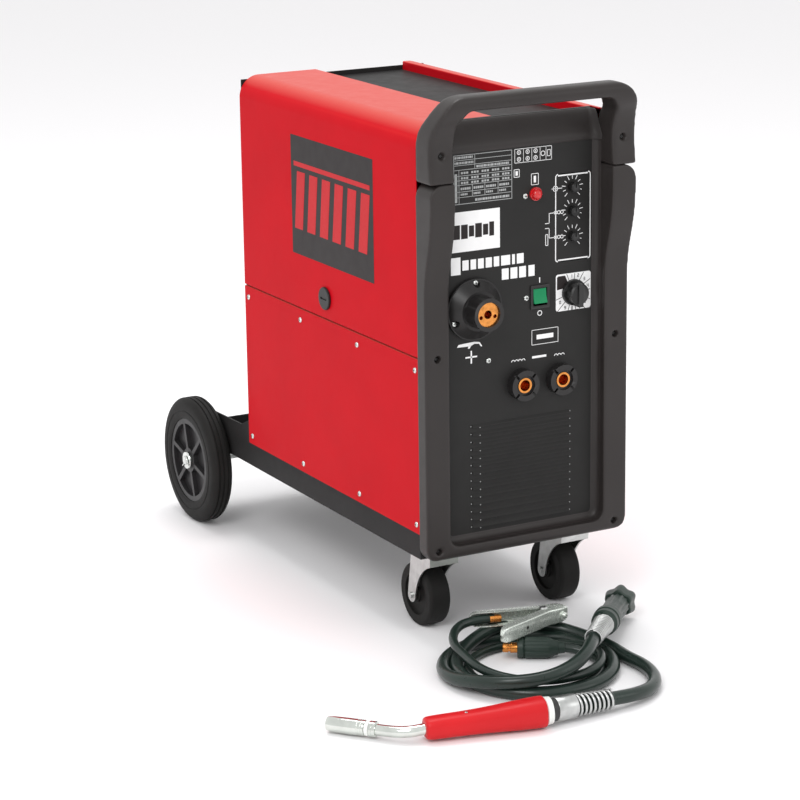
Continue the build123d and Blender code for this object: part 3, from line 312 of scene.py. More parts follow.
def add_lathe(bm, start, axis, profile, steps=48, star=None, index=0, ring=False):
    """Turns a profile of (distance along the axis, radius) in mm about a line.

    star(angle, distance) scales the radius. A ring's profile closes on itself, and any other is capped.
    """
    x, y, z = basis(axis)
    rings = []
    for along, radius in millimetres(profile):
        turn = []
        for k in range(steps):
            angle = 2 * math.pi * k / steps
            reach = radius * (star(angle, along) if star else 1)
            away = x * math.cos(angle) + y * math.sin(angle)
            turn.append(bm.verts.new(Vector(start) + z * along + away * reach))
        rings.append(turn)
    bridge(bm, rings + rings[:1] if ring else rings, index, not ring)


def add_tube(bm, points, radius, steps):
    """A round tube through points."""
    across = None
    rings = []
    for k, point in enumerate(points):
        ahead = points[min(k + 1, len(points) - 1)] - points[max(k - 1, 0)]
        x, y, z = basis(ahead, across)
        across = x
        rings.append([bm.verts.new(point + (x * math.cos(a) + y * math.sin(a)) * radius)
                      for a in (2 * math.pi * s / steps for s in range(steps))])
    bridge(bm, rings)


def add_loft(bm, stations, steps):
    """Skins superellipse sections: (centre, u vector, v vector, half u, half v, power)."""
    rings = []
    for centre, u, v, half_u, half_v, power in stations:
        ring = []
        for k in range(steps):
            c, s = math.cos(2 * math.pi * k / steps), math.sin(2 * math.pi * k / steps)
            reach_u = math.copysign(abs(c) ** (2 / power), c) * half_u
            reach_v = math.copysign(abs(s) ** (2 / power), s) * half_v
            ring.append(bm.verts.new(centre + u * reach_u + v * reach_v))
        rings.append(ring)
    bridge(bm, rings)


def coil_wire(start, axis, length, low_radius, high_radius, turns):
    """Points of a helix on a cone."""
    steps = 14
    x, y, z = basis(axis)
    points = []
    for k in range(int(turns * steps) + 1):
        angle = 2 * math.pi * k / steps
        share = k / (turns * steps)
        radius = low_radius + (high_radius - low_radius) * share
        away = x * math.cos(angle) + y * math.sin(angle)
        points.append(Vector(start) + z * length * share + away * radius)
    return points


def spline_points(points, share=14):
    """Points along the smooth NURBS line whose control points are given."""
    curve = bpy.data.curves.new("guide", "CURVE")
    curve.dimensions = "3D"
    spline = curve.splines.new("NURBS")
    spline.points.add(len(points) - 1)
    for target, point in zip(spline.points, points):
        target.co = (*point, 1)
    spline.order_u = 3
    spline.use_endpoint_u = True
    spline.resolution_u = share
    holder = bpy.data.objects.new("guide", curve)
    mesh = bpy.data.meshes.new_from_object(holder)
    line = [v.co.copy() for v in mesh.vertices]
    bpy.data.objects.remove(holder)
    bpy.data.curves.remove(curve)
    bpy.data.meshes.remove(mesh)
    return line


def dress(node, material, bevel):
    """A CAD node keeps its shape: welded, its flat faces merged, its edges slightly rounded or just split."""
    angle = math.radians(30)
    piece = NODES[node]
    piece.data.materials.clear()
    piece.data.materials.append(material)
    for face in piece.data.polygons:
        face.use_smooth = True
    weld = piece.modifiers.new("weld", "WELD")
    weld.merge_threshold = 0.00001
    merge = piece.modifiers.new("merge", "DECIMATE")
    merge.decimate_type = "DISSOLVE"
    merge.angle_limit = math.radians(1.0)
    if bevel:
        round_edges = piece.modifiers.new("round", "BEVEL")
        round_edges.width = bevel
        round_edges.segments = 2
        round_edges.limit_method = "ANGLE"
        round_edges.angle_limit = angle
    else:
        split = piece.modifiers.new("split", "EDGE_SPLIT")
        split.split_angle = angle
    even = piece.modifiers.new("even", "WEIGHTED_NORMAL")
    even.mode = "FACE_AREA"
    even.weight = 100
    even.keep_sharp = True


def moulded_copy(name, node, material, body, passes):
    """A soft-edged moulding made from a CAD node: voxel remesh, then smoothing that rounds every edge."""
    mesh = NODES[node].data.copy()
    piece = bpy.data.objects.new(name, mesh)
    SCENE.collection.objects.link(piece)
    mesh.materials.clear()
    mesh.materials.append(material)
    weld = piece.modifiers.new("weld", "WELD")
    weld.merge_threshold = 0.00001
    remesh = piece.modifiers.new("remesh", "REMESH")
    remesh.mode = "VOXEL"
    remesh.voxel_size = 0.0016
    remesh.use_smooth_shade = True
    soften = piece.modifiers.new("soften", "SMOOTH")
    soften.factor = 0.5
    soften.iterations = passes
    applied = bpy.data.meshes.new_from_object(piece.evaluated_get(bpy.context.evaluated_depsgraph_get()))
    piece.modifiers.clear()
    piece.data = applied
    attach(piece, body)
    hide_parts(node)


# ---- the leads' cords, in millimetres as at() takes them -------------------------------------------
COIL = (-66.0, -144.0)                      # middle of both coils
TORCH_D, EARTH_D = 16.0, 11.0
connector_route = [(40.3, -128.6, 35.3), (14, -157.4, 39.7), (-12, -186, 44), (-38, -214, 39.5),
                   (-73, -231, 32), (-111, -229, 26), (-145, -211, 23), (-167, -182, 19), (-177, -146, 12),
                   (-172, -110, 9)]
torch_route = [(40, -180, 9), (44, -214, 8.2), (33, -252, 8.2), (8, -282, 10), (-26, -296.5, 13.5),
               (-58, -297, 15), (-103, -298, 16.8), (-148, -298, 18.5), (-195, -288, 18),
               (-240, -282, 16.6), (-277, -274.5, 15.2)]
plug_route = [(-12, -124, 13), (0, -131.5, 11), (7.6, -143.5, 8), (10.6, -157.5, 6), (8.8, -171.8, 5.6)]
clamp_route = [(-142, -113, 22.4), (-139, -76, 26.5), (-122, -50, 33), (-95.8, -40, 37), (-66, -48.6, 37)]


def smooth_step(low, high, value):
    """0 at low, 1 at high, with a soft start and end."""
    share = min(1, max(0, (value - low) / (high - low)))
    return share * share * (3 - 2 * share)


def torch_turns():
    """One and a half turns, clockwise from above: outside first, then inside, then over and out."""
    first, last = 162.2, -378.8
    count = 26
    points = []
    for k in range(1, count):
        angle = first + (last - first) * k / count
        inward = smooth_step(162, 20, angle) if angle > -18 else 1
        outward = smooth_step(-230, -340, angle)
        radius = 111 - 15.5 * inward * (1 - outward) + 1.6 * math.sin(math.radians(2.3 * angle))
        height = 8.3 + 16.5 * math.exp(-((angle + 285) / 38) ** 2)
        points.append((*polar(*COIL, radius, angle), height))
    return points


def earth_turns():
    """One and a half turns; the second lies on the first and a little inside it."""
    first, last = -20.4, -562.2
    count = 26
    points = []
    for k in range(1, count):
        angle = first + (last - first) * k / count
        climb = smooth_step(-300, -385, angle)
        radius = 80.2 - 1.5 * climb + 1.3 * math.sin(math.radians(1.7 * angle))
        height = 5.7 + 11.6 * climb + 4.5 * smooth_step(-490, -562, angle)
        points.append((*polar(*COIL, radius, angle), height))
    return points


def length_of(points):
    """The length of a line through points."""
    return sum((b - a).length for a, b in zip(points, points[1:]))


def add_cord(name, route, diameter, nodes):
    """A free cord, as one NURBS tube along its route."""
    points = [at(*p) for p in route]
    curve = bpy.data.curves.new(name, "CURVE")
    curve.dimensions = "3D"
    curve.bevel_depth = diameter * MM / 2
    curve.bevel_resolution = 6
    curve.use_fill_caps = True
    curve.resolution_u = 12
    spline = curve.splines.new("NURBS")
    spline.points.add(len(points) - 1)
    for target, point in zip(spline.points, points):
        target.co = (*point, 1)
    spline.order_u = 3
    spline.use_endpoint_u = True
    curve.materials.append(CABLE)
    cord = bpy.data.objects.new(name, curve)
    SCENE.collection.objects.link(cord)
    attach(cord, "leads")
    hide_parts(*nodes)
    length_of(spline_points(points))


def add_connector():
    """The torch lead's machine end: lobed nut, ribbed body, bend spring."""
    nut, cable = at(126, -34.5, 21), at(-12, -186, 44)
    axis = (cable - nut).normalized()
    total = (cable - nut).length
    bm = bmesh.new()

    def lobes(angle, along):
        return 1 + 0.085 * math.cos(6 * angle)

    add_lathe(bm, nut, axis, [(0, 11.2), (0, 17.2), (1.4, 18.8), (5, 19.2), (12, 18.4), (20, 17.2),
                              (25, 16.6), (26, 15.6), (26, 11.2)], 96, lobes)
    finish_piece("nut_lobed", bm, LEAD_PLASTIC, "connector_nut", ["connector_nut"], 40)
    bm = bmesh.new()

    def ribs(angle, along):
        return 1 + (0.035 * math.cos(14 * angle) if 0.028 < along < 0.098 else 0)

    add_lathe(bm, nut, axis, [(2, 0.5), (2, 10.4), (26.6, 10.6), (26.8, 13.2), (30, 14.4), (60, 13.8),
                              (84, 13.6), (86, 15.2), (99, 15.6), (100, 16.8), (111, 16.8),
                              (112.5, 15.2), (116, 14.8), (117, 16.4), (125, 16.0), (127, 13.6),
                              (131, 12.4)], 96, ribs)
    x, y, z = basis(axis)
    pins = 5
    for k in range(pins):
        angle = 2 * math.pi * k / pins
        pin = nut + (x * math.cos(angle) + y * math.sin(angle)) * 0.0078
        add_lathe(bm, pin - axis * 0.004, axis, [(0, 0.2), (0, 1.0), (0.6, 1.4), (7, 1.4)], 14, index=1)
    add_lathe(bm, nut - axis * 0.011, axis, [(0, 2.0), (0, 3.8), (1.2, 4.8), (14, 4.8)], 24, index=1)
    finish_piece("connector_body", bm, LEAD_PLASTIC, "leads", ["torch_connector"], 40,
                 (BRASS,))
    bm = bmesh.new()
    spring = 0.078
    spring_start = nut + axis * (total - spring)
    add_tube(bm, coil_wire(spring_start, axis, spring, 0.0122, 0.0098, 12), 0.0012, 8)
    add_lathe(bm, spring_start, axis, [(-2, 10.2), (0, 10.4), (78, 8.4), (79, 8.2)], 32, index=1)
    finish_piece("connector_spring", bm, ZINC, "leads", (), 60, (CABLE,))


def add_torch():
    """The welding torch: spring and collar, red grip, trigger, chrome neck, nozzle and tip."""
    tail, rear, front = at(-58, -297, 15), at(-148, -298, 18.5), at(-285, -268.6, 15)
    axis = (rear - tail).normalized()
    bm = bmesh.new()
    add_tube(bm, coil_wire(tail, axis, 0.052, 0.0104, 0.0122, 8.6), 0.0017, 8)
    add_lathe(bm, tail, axis, [(-1, 8.0), (0, 8.4), (53, 10.4)], 32, index=1)
    add_lathe(bm, tail, axis, [(50.5, 11.5), (51, 13.6), (53, 14.2), (76, 14.4), (77, 13.8),
                               (77, 10.5)], 48)
    add_lathe(bm, tail, axis, [(76.5, 11), (76.5, 13.4), (83.5, 13.8), (83.5, 11)], 48, index=2)
    finish_piece("torch_bend_spring", bm, ZINC, "leads", ["torch_spring"], 50, (CABLE, KNOB_BLACK))
    line = front - rear
    way = line.normalized()
    flat = Vector((0, 0, 1)).cross(way).normalized()
    up = way.cross(flat)
    bm = bmesh.new()
    ring = [(rear - way * back, flat, up, wide, tall, 2)
            for back, wide, tall in ((0.008, 0.0142, 0.0142), (0.0075, 0.0156, 0.0154),
                                     (0.001, 0.0165, 0.0160), (0.0002, 0.0156, 0.0152))]
    add_loft(bm, ring, 48)
    finish_piece("torch_ring", bm, WHITE_PLASTIC, "leads", (), 40)
    bm = bmesh.new()
    # share of the grip's length, half width, half height, how far the middle is shifted sideways
    shape = [(-0.001, 16.8, 16.2, 0), (0.004, 17.4, 17.0, 0), (0.03, 17.9, 17.4, 0.2),
             (0.2, 17.3, 16.6, 0.6), (0.42, 15.2, 14.4, 0.9), (0.62, 13.9, 13.3, 0.6),
             (0.80, 13.6, 13.0, 0), (0.94, 13.8, 12.8, -0.4), (0.985, 13.0, 12.0, -0.4),
             (1.0, 10.6, 9.8, -0.3)]
    stations = []
    for share, wide, tall, shift in shape:
        spot = rear + line * share + flat * shift * MM
        spot.z = max(spot.z, tall * MM + 0.0003)
        stations.append((spot, flat, up, wide * MM, tall * MM, 2.5))
    add_loft(bm, stations, 40)
    grip = finish_piece("torch_grip", bm, GRIP_RED, "leads", ["torch_handle"], 70)
    smooth = grip.modifiers.new("smooth", "SUBSURF")
    smooth.levels = smooth.render_levels = 2
    bm = bmesh.new()
    for share in (0.66, 0.22):
        spot = rear + line * share + Vector((0, 0, 0.0135))
        add_lathe(bm, spot - Vector((0, 0, 0.003)) + flat * 0.002, (0.12, -0.2, 1),
                  [(0, 0.3), (0, 1.8), (3.2, 1.8), (3.4, 1.5), (3.4, 0.7), (2.4, 0.6), (2.4, 0.1)], 20)
    finish_piece("torch_screws", bm, ZINC, "leads", (), 40)
    bm = bmesh.new()
    start = rear + line * 0.742
    lever = [(start + way * a * MM - flat * d * MM, flat, up, w * MM, 3.4 * MM, 3)
             for a, d, w in ((0, 12.0, 2.0), (2, 12.8, 3.2), (10, 13.8, 3.6), (22, 14.4, 3.6),
                             (31, 13.6, 3.2), (34, 12.2, 2.0))]
    add_loft(bm, lever, 20)
    finish_piece("torch_lever", bm, KNOB_BLACK, "torch_trigger", ["torch_trigger"], 60)
    bm = bmesh.new()
    bend = spline_points([front - way * 0.006, front, at(-302, -264.5, 13.2), at(-318, -250, 12),
                          at(-329, -232, 11)])
    add_tube(bm, bend, 0.0066, 28)
    finish_piece("torch_neck_tube", bm, CHROME, "leads", ["torch_neck"], 60)
    bm = bmesh.new()
    start, tip = at(-327, -234, 11), at(-364, -189, 10.2)
    axis = (tip - start).normalized()
    total = (tip - start).length / MM
    add_lathe(bm, start, axis, [(-1, 6.8), (-1, 8.6), (0, 9.2), (3, 9.2), (3.4, 8.8), (4, 9.2), (6.6, 9.2),
                                (7, 8.2), (7.4, 6.6)], 40)
    add_lathe(bm, start, axis, [(7.2, 6.2), (7.4, 8.4), (11.8, 8.6), (12, 6.2)], 40, index=1)
    add_lathe(bm, start, axis, [(12.2, 7), (12.4, 9.1), (14, 9.3), (14.5, 8.7), (16, 8.7), (16.5, 9.3),
                                (18.4, 9.3), (18.9, 8.7), (20.4, 8.7), (20.9, 9.3), (38, 9.3),
                                (total - 9, 9.2), (total - 1, 8.2), (total, 7.9), (total, 6.7),
                                (total - 12, 6.7), (total - 13, 3.5)], 48)
    add_lathe(bm, start, axis, [(total - 16, 3.6), (total - 4.5, 3.6), (total - 3.6, 2.8),
                                (total - 3.6, 0.9), (total - 8, 0.8)], 20, index=2)
    finish_piece("torch_nozzle_cup", bm, CHROME, "leads", ["torch_nozzle"], 30,
                 (WHITE_PLASTIC, BRASS))


def add_earth_plug():
    """The earth lead's bayonet plug: fluted rubber sleeve and brass pin with its key."""
    tip, cable = at(-76, -86, 13), at(*plug_route[0])
    axis = (cable - tip).normalized()
    total = (cable - tip).length / MM
    bm = bmesh.new()

    def ribs(angle, along):
        return 1 - (0.05 * (math.cos(12 * angle) > 0.55) if 0.026 < along < 0.056 else 0)

    add_lathe(bm, tip, axis, [(17.5, 6.4), (17.5, 11.4), (18.5, 12.2), (24, 12.4), (25, 11.4),
                              (26.5, 11.2), (27, 12.8), (54, 12.8), (57, 11.6), (62, 9.4), (66, 8.6),
                              (66.5, 7.4), (total - 0.2, 6.6), (total, 5.6)], 96, ribs)
    add_lathe(bm, tip, axis, [(0, 0.5), (0, 4.6), (1.0, 5.6), (6.5, 5.8), (7.0, 4.8), (9.0, 4.8),
                              (9.5, 6.3), (18, 6.3)], 36, index=1)
    x, y, z = basis(axis)
    add_lathe(bm, tip + z * 0.0042, y, [(0, 1.6), (6.6, 1.6), (6.9, 1.2)], 16, index=1)
    finish_piece("plug_body", bm, LEAD_PLASTIC, "leads", ["earth_plug"], 35, (BRASS,))


PIVOT = at(-10, -71, 27)                    # middle of the clamp's rivet
FAR_HEADING, NEAR_HEADING = 164, 199.4      # directions of the clamp's handles, in degrees from +X


def channel_arm(name, node, body, heading, side):
    """A pressed clamp arm: a channel with its web outwards, a rounded handle end and a tapered jaw."""
    reach = 90
    way = Vector((*polar(0, 0, 1, heading), 0))
    out = Vector((-way.y, way.x, 0)) * -side
    jaw, jaw_out, up = Vector((1, 0, 0)), Vector((0, side, 0)), Vector((0, 0, 1))
    low, high, sheet = 0.4, 19.6, 1.4
    # along, distance of the web from the axis, depth of the flanges, how far the web is narrowed
    handle = ((reach, 11.6, 3.4, 7.0), (reach - 0.8, 12.2, 4.4, 5.0), (reach - 2.6, 12.7, 6.0, 2.6),
              (reach - 6, 13.0, 8.0, 0.8), (reach - 11, 13.2, 9.6, 0.0), (reach * 0.7, 13.2, 11.0, 0.0),
              (reach * 0.45, 13.2, 11.6, 0.0), (reach * 0.22, 13.0, 11.6, 0.0), (8, 12.6, 11.4, 0.0))
    nose = ((2, 12.6, 11.6, 0.0), (12, 12.2, 11.2, 0.0), (21, 10.8, 9.8, 0.4), (28, 8.0, 7.0, 1.2),
            (31.4, 5.6, 4.6, 2.4), (32.4, 4.2, 3.2, 4.2))
    stations = [(way * a * MM + out * d * MM, out, deep, narrow) for a, d, deep, narrow in handle]
    stations += [(jaw * a * MM + jaw_out * d * MM, jaw_out, deep, narrow) for a, d, deep, narrow in nose]
    bm = bmesh.new()
    rings = []
    for spot, outward, deep, narrow in stations:
        floor, roof = low + narrow, high - narrow
        outer = [(-deep, floor), (-2.0, floor), (-0.6, floor + 0.6), (0, floor + 2.0), (0, roof - 2.0),
                 (-0.6, roof - 0.6), (-2.0, roof), (-deep, roof)]
        inner = [(-deep, roof - sheet), (-2.6, roof - sheet), (-sheet, roof - 2.8), (-sheet, floor + 2.8),
                 (-2.6, floor + sheet), (-deep, floor + sheet)]
        rings.append([bm.verts.new(PIVOT + spot + outward * a * MM + up * b * MM) for a, b in outer + inner])
    bridge(bm, rings)
    # a thin dark disc just proud of the web: painted shade standing in for a hole through it
    painted_hole_shade = PIVOT + way * reach * 0.5 * MM + out * 13.2 * MM + up * 0.010
    add_lathe(bm, painted_hole_shade - out * 0.0002, out, [(0, 0.2), (0, 2.1), (0.35, 2.1), (0.35, 0.2)], 20, index=1)
    piece = finish_piece(name, bm, CLAMP_ZINC, body, [node], 50, (SCREW_BLACK_AND_PAINTED_SHADE,))
    edge = piece.modifiers.new("round", "BEVEL")
    edge.width = 0.0003
    edge.segments = 2
    edge.limit_method = "ANGLE"


def add_clamp_bolt():
    """The lead's bolt through the near jaw: a domed nut on a washer."""
    bm = bmesh.new()
    spot = PIVOT + Vector((22, -10.4, 10)) * MM
    out = (0.25, -1, 0)
    add_lathe(bm, spot, out, [(0, 1.0), (0, 5.0), (0.8, 5.0), (0.8, 1.0)], 28)

    def hexagon(angle, along):
        return 1 + 0.06 * math.cos(6 * angle)

    add_lathe(bm, spot, out, [(0.8, 1), (0.8, 3.9), (3.2, 3.9), (4.0, 3.2), (5.6, 2.4), (6.0, 0.8)], 36,
              hexagon)
    finish_piece("clamp_bolt", bm, CLAMP_ZINC, "clamp_lower", (), 40)


def add_clamp():
    """The earth clamp: two channel arms on a rivet, with the spring between them and the lead's lug."""
    channel_arm("clamp_arm_far", "clamp_upper", "leads", FAR_HEADING, 1)
    channel_arm("clamp_arm_near", "clamp_lower", "clamp_lower", NEAR_HEADING, -1)
    add_clamp_bolt()
    bm = bmesh.new()
    add_lathe(bm, PIVOT + Vector((0, 0, -0.0012)), (0, 0, 1),
              [(0, 0.4), (0, 4.2), (1.0, 5.4), (1.4, 5.4), (1.4, 2.8), (20.4, 2.8), (20.4, 5.4),
               (21.2, 5.4), (22.6, 4.0), (23.2, 0.5)], 28)
    finish_piece("clamp_rivet", bm, ZINC, "leads", (), 35)
    bm = bmesh.new()
    wire = 0.0009
    low_end = PIVOT + Vector((0, 0, 0.005))
    add_tube(bm, coil_wire(low_end, (0, 0, 1), 0.0095, 0.0048, 0.0048, 5), wire, 8)
    way = Vector((*polar(0, 0, 1, FAR_HEADING), 0))
    out = Vector((way.y, -way.x, 0))
    leg = [low_end + way * a * MM + out * d * MM
           for a, d in ((0.5, 4.8), (8, 6.4), (16, 9.2), (26, 11.0), (36, 11.2))]
    add_tube(bm, leg, wire, 8)
    finish_piece("clamp_spring", bm, ZINC, "leads", (), 60)
    bm = bmesh.new()
    for reach, side_out in ((14, 12.1), (26, 8.6)):
        spot = PIVOT + Vector((reach * MM, side_out * MM - 0.0035, 0.010))
        add_lathe(bm, spot, (0, 1, 0), [(0, 0.2), (0, 2.6), (4, 2.6), (4.6, 1.6), (4.8, 0.3)], 20)
    lug = at(*clamp_route[-1])
    add_lathe(bm, lug - Vector((0.006, 0, 0)), (1, -0.28, 0), [(0, 3.8), (0, 4.6), (14, 4.6), (14, 3.9)], 24)
    finish_piece("clamp_rivets_and_lug", bm, BRASS, "leads", (), 40)


# ---- printed graphics: thin closed shapes just proud of a flat face --------------------------------
ON_TOP = 0.16                               # lift of a mark that lies on another, in millimetres


def corner_centres(u0, u1, z0, z1, corner):
    """The centres of a rounded rectangle's corners, each with the angle at which its arc starts."""
    return ((u1 - corner, z1 - corner, 0), (u0 + corner, z1 - corner, 90), (u0 + corner, z0 + corner, 180),
            (u1 - corner, z0 + corner, 270))


class Print:
    """Flat marks in millimetres on the front panel (x, z), or on the door as (distance back, z)."""

    def __init__(self, on_door=False):
        self.bm = bmesh.new()
        self.on_door = on_door

    def spot(self, u, z, lift):
        if self.on_door:
            return at(-SIDE - lift, u, z)
        return Vector((u * MM, PANEL - lift * MM, z * MM))

    def fill(self, outline, lift=0.0):
        low = [self.bm.verts.new(self.spot(u, z, lift + 0.02)) for u, z in outline]
        high = [self.bm.verts.new(self.spot(u, z, lift + 0.16)) for u, z in outline]
        prism(self.bm, low, high)

    def bar(self, u0, u1, z0, z1, lift=0.0):
        self.fill([(u0, z0), (u1, z0), (u1, z1), (u0, z1)], lift)

    def stroke(self, points, width, lift=0.0):
        """One slab for each straight stretch of a line."""
        for (u0, z0), (u1, z1) in zip(points, points[1:]):
            along = math.hypot(u1 - u0, z1 - z0)
            du, dz = (u1 - u0) / along * width / 2, (z1 - z0) / along * width / 2
            self.fill([(u0 - du - dz, z0 - dz + du), (u0 - du + dz, z0 - dz - du),
                       (u1 + du + dz, z1 + dz - du), (u1 + du - dz, z1 + dz + du)], lift)

    def arc(self, u, z, radius, width, first=0, last=360, steps=12):
        angles = [first + (last - first) * k / steps for k in range(steps + 1)]
        outer = [polar(u, z, radius + width / 2, angle) for angle in angles]
        inner = [polar(u, z, radius - width / 2, angle) for angle in angles]
        for k in range(steps):
            self.fill([outer[k], outer[k + 1], inner[k + 1], inner[k]])

    def outline(self, u0, u1, z0, z1, width, corner=0.0):
        """A rounded frame line."""
        inset = max(corner, width / 2)
        self.bar(u0 + inset, u1 - inset, z0, z0 + width)
        self.bar(u0 + inset, u1 - inset, z1 - width, z1)
        self.bar(u0, u0 + width, z0 + inset, z1 - inset)
        self.bar(u1 - width, u1, z0 + inset, z1 - inset)
        if corner:
            for u, z, turn in corner_centres(u0, u1, z0, z1, corner):
                self.arc(u, z, corner - width / 2, width, turn, turn + 90, 6)

    def words(self, u0, u1, z0, z1, widths, gap):
        """Unreadable stand-in lettering: a row of small blocks."""
        u, k = u0, 0
        while u + widths[k % len(widths)] <= u1:
            self.bar(u, u + widths[k % len(widths)], z0, z1)
            u += widths[k % len(widths)] + gap
            k += 1

    def done(self, name, material):
        finish_piece(name, self.bm, material, "side_door" if self.on_door else "chassis", (), 30)


SEVEN = {"0": "abcdef", "1": "bc", "2": "abged", "3": "abgcd", "4": "fgbc", "5": "afgcd", "6": "afgedc",
         "7": "abc", "8": "abcdefg", "9": "abfgcd"}


def add_digit(marks, digit, u, z, tall, width, lift):
    """A dial number made of straight strokes."""
    half, wide = tall / 2, tall * 0.27
    ends = {"a": ((-wide, half), (wide, half)), "b": ((wide, half), (wide, 0)),
            "c": ((wide, 0), (wide, -half)), "d": ((-wide, -half), (wide, -half)),
            "e": ((-wide, 0), (-wide, -half)), "f": ((-wide, half), (-wide, 0)),
            "g": ((-wide, 0), (wide, 0))}
    for part in SEVEN[digit]:
        marks.stroke([(u + a, z + b) for a, b in ends[part]], width, lift)


def add_rating_table():
    """A grey table of made-up rows and blocks in the panel's upper left corner."""
    left, right, low, high = -91.0, -11.5, 538.5, 597.0
    table = Print()
    table.outline(left, right, low, high, 0.7)
    for z in (590.5, 584.5, 579.0, 572.0, 566.5, 561.0, 553.0, 546.5):
        table.bar(left, right, z, z + 0.6)
    table.bar(-62.5, -61.9, 579, high)
    table.bar(-84.0, -83.4, low, 579)
    for u in (-66, -49, -31):
        table.bar(u, u + 0.6, 546.5, 561)
    for row, (z, start, end) in enumerate(((592.6, -89.5, -63), (586.3, -89.5, -63), (580.6, -60, -14))):
        table.words(start, end, z, z + 2.6, (2.2, 1.4, 3.0, 1.0, 1.8)[row:] + (1.3,), 0.7)
    for z in (574.4, 568.2, 562.6):
        for group in range(5):
            for k in range(3):
                u = -81 + group * 14 + k * 3.6
                table.bar(u, u + 2.6, z, z + 2.4)
    for u in (-81.5, -64, -47, -29):
        table.words(u, u + 14, 555.5, 558.3, (2.2, 1.6, 2.8), 0.7)
        table.words(u, u + 12, 549.0, 551.4, (1.4, 2.4, 1.8), 0.7)
    table.words(-62, -14, 541.0, 543.8, (2.8, 1.4, 2.0, 1.0, 3.2), 0.7)
    table.words(-89.6, -84.6, 541.0, 575, (3.4,), 0.7)
    table.done("rating_table", GREY_PRINT)


def add_panel_marks():
    """White marks on the front panel: plain boxes, bars and arcs."""
    marks = Print()
    # row of small boxes beside the table, and a small box above the lamp
    marks.outline(-8.0, 43.5, 580.0, 597.0, 0.6)
    for u in (4.0, 15.5, 27.0, 35.2):
        marks.bar(u, u + 0.5, 580, 597)
    for u in (-2.0, 10.0, 21.0):
        for z in (584.4, 592.6):
            marks.arc(u, z, 2.4, 0.8)
            marks.bar(u - 0.5, u + 0.5, z - 1.2, z + 1.2)
    marks.arc(31.2, 588.5, 2.8, 0.8)
    marks.outline(37.0, 41.8, 584.5, 592.5, 0.7)
    marks.outline(-9.0, -1.2, 563.0, 572.8, 0.7)
    marks.bar(-6.7, -3.5, 565.3, 570.5)
    marks.outline(14.8, 25.2, 551.6, 565.6, 0.7)
    marks.bar(18.4, 21.6, 554.6, 562.6)
    # blank label
    marks.bar(-96.0, -28.5, 481.5, 529.5)
    # the switch's on and off marks
    marks.bar(26.0, 27.3, 432.0, 438.6)
    marks.arc(26.8, 394.6, 2.9, 0.9, steps=20)
    # outlined box with one plain bar under the switch
    marks.outline(15.4, 53.0, 355.8, 374.6, 0.6)
    marks.bar(22.4, 46.0, 362.4, 368.0)
    # torch silhouette and plus sign under the torch socket
    marks.fill([(-88.0, 366.5), (-70.0, 366.0), (-64.0, 368.3), (-58.0, 367.6), (-55.0, 363.6),
                (-53.6, 364.4), (-57.0, 369.6), (-64.6, 370.9), (-86.0, 369.6)])
    marks.fill([(-72.5, 366.2), (-68.5, 366.9), (-70.8, 363.4), (-73.2, 363.4)])
    marks.bar(-76.6, -60.6, 351.6, 353.4)
    marks.bar(-69.5, -67.7, 344.6, 360.2)
    # chokes' humps and the dash over the earth sockets
    for start, humps in ((-13.0, 4), (47.4, 3)):
        for k in range(humps):
            marks.arc(start + 2.4 + 4.8 * k, 338.6, 2.2, 0.9, 0, 180, 8)
    marks.bar(16.0, 36.0, 339.4, 342.2)
    # window round the three trim knobs
    marks.outline(48.4, 98.4, 454.0, 561.4, 1.3, 4.0)
    marks.bar(52.4, 94.4, 454.0, 457.0)
    marks.bar(52.4, 94.4, 558.4, 561.4)
    for level in (544.0, 515.0, 484.0):
        for k in range(11):
            ends = (10.2, 13.4 if k % 2 else 14.6)
            marks.stroke([polar(72.5, level, reach, 225 - 27 * k) for reach in ends], 0.8)
    # symbols beside the window
    marks.arc(48.6, 544.0, 3.2, 0.8, steps=14)
    marks.bar(43.4, 58.0, 543.6, 544.4)
    for level in (515.0, 485.0):
        for k in range(3):
            marks.arc(49.0 + 4.4 * k, level, 2.0, 0.8, steps=10)
        marks.bar(40.0, 47.0, level - 0.4, level + 0.4)
    marks.stroke([(40.0, 515.0), (40.0, 503.0), (34.6, 503.0)], 0.8)
    marks.stroke([(40.0, 485.0), (40.0, 497.0), (34.6, 497.0)], 0.8)
    marks.outline(34.6, 38.6, 476.0, 490.0, 0.8)
    marks.done("panel_marks", WHITE)


def add_title():
    """Dark bars on the blank label, and two rows of white blocks under it."""
    bars = Print()
    u = -93.0
    for wide, tall in ((10.0, 8.5), (9.0, 8.5), (7.0, 6.5), (9.0, 8.5), (7.0, 6.5), (6.5, 8.5)):
        bars.bar(u, u + wide, 505.5 - tall, 505.5 + tall, ON_TOP)
        u += wide + 1.6
    bars.done("label_bars", LABEL_BLACK)
    title = Print()
    title.bar(-95.5, -82.5, 454.5, 475.5)
    u = -79.9
    for wide in (8.5, 7.5, 8.0, 8.5, 7.5, 12.5, 4.0, 9.5):
        title.bar(u, u + wide, 459.0, 471.0)
        u += wide + 2.6
    for wide, start in ((9.5, -26.0), (9.5, -14.0), (9.5, -2.0), (8.5, 11.0)):
        title.bar(start, start + wide, 441.5, 455.0)
    title.done("title_blocks", WHITE)


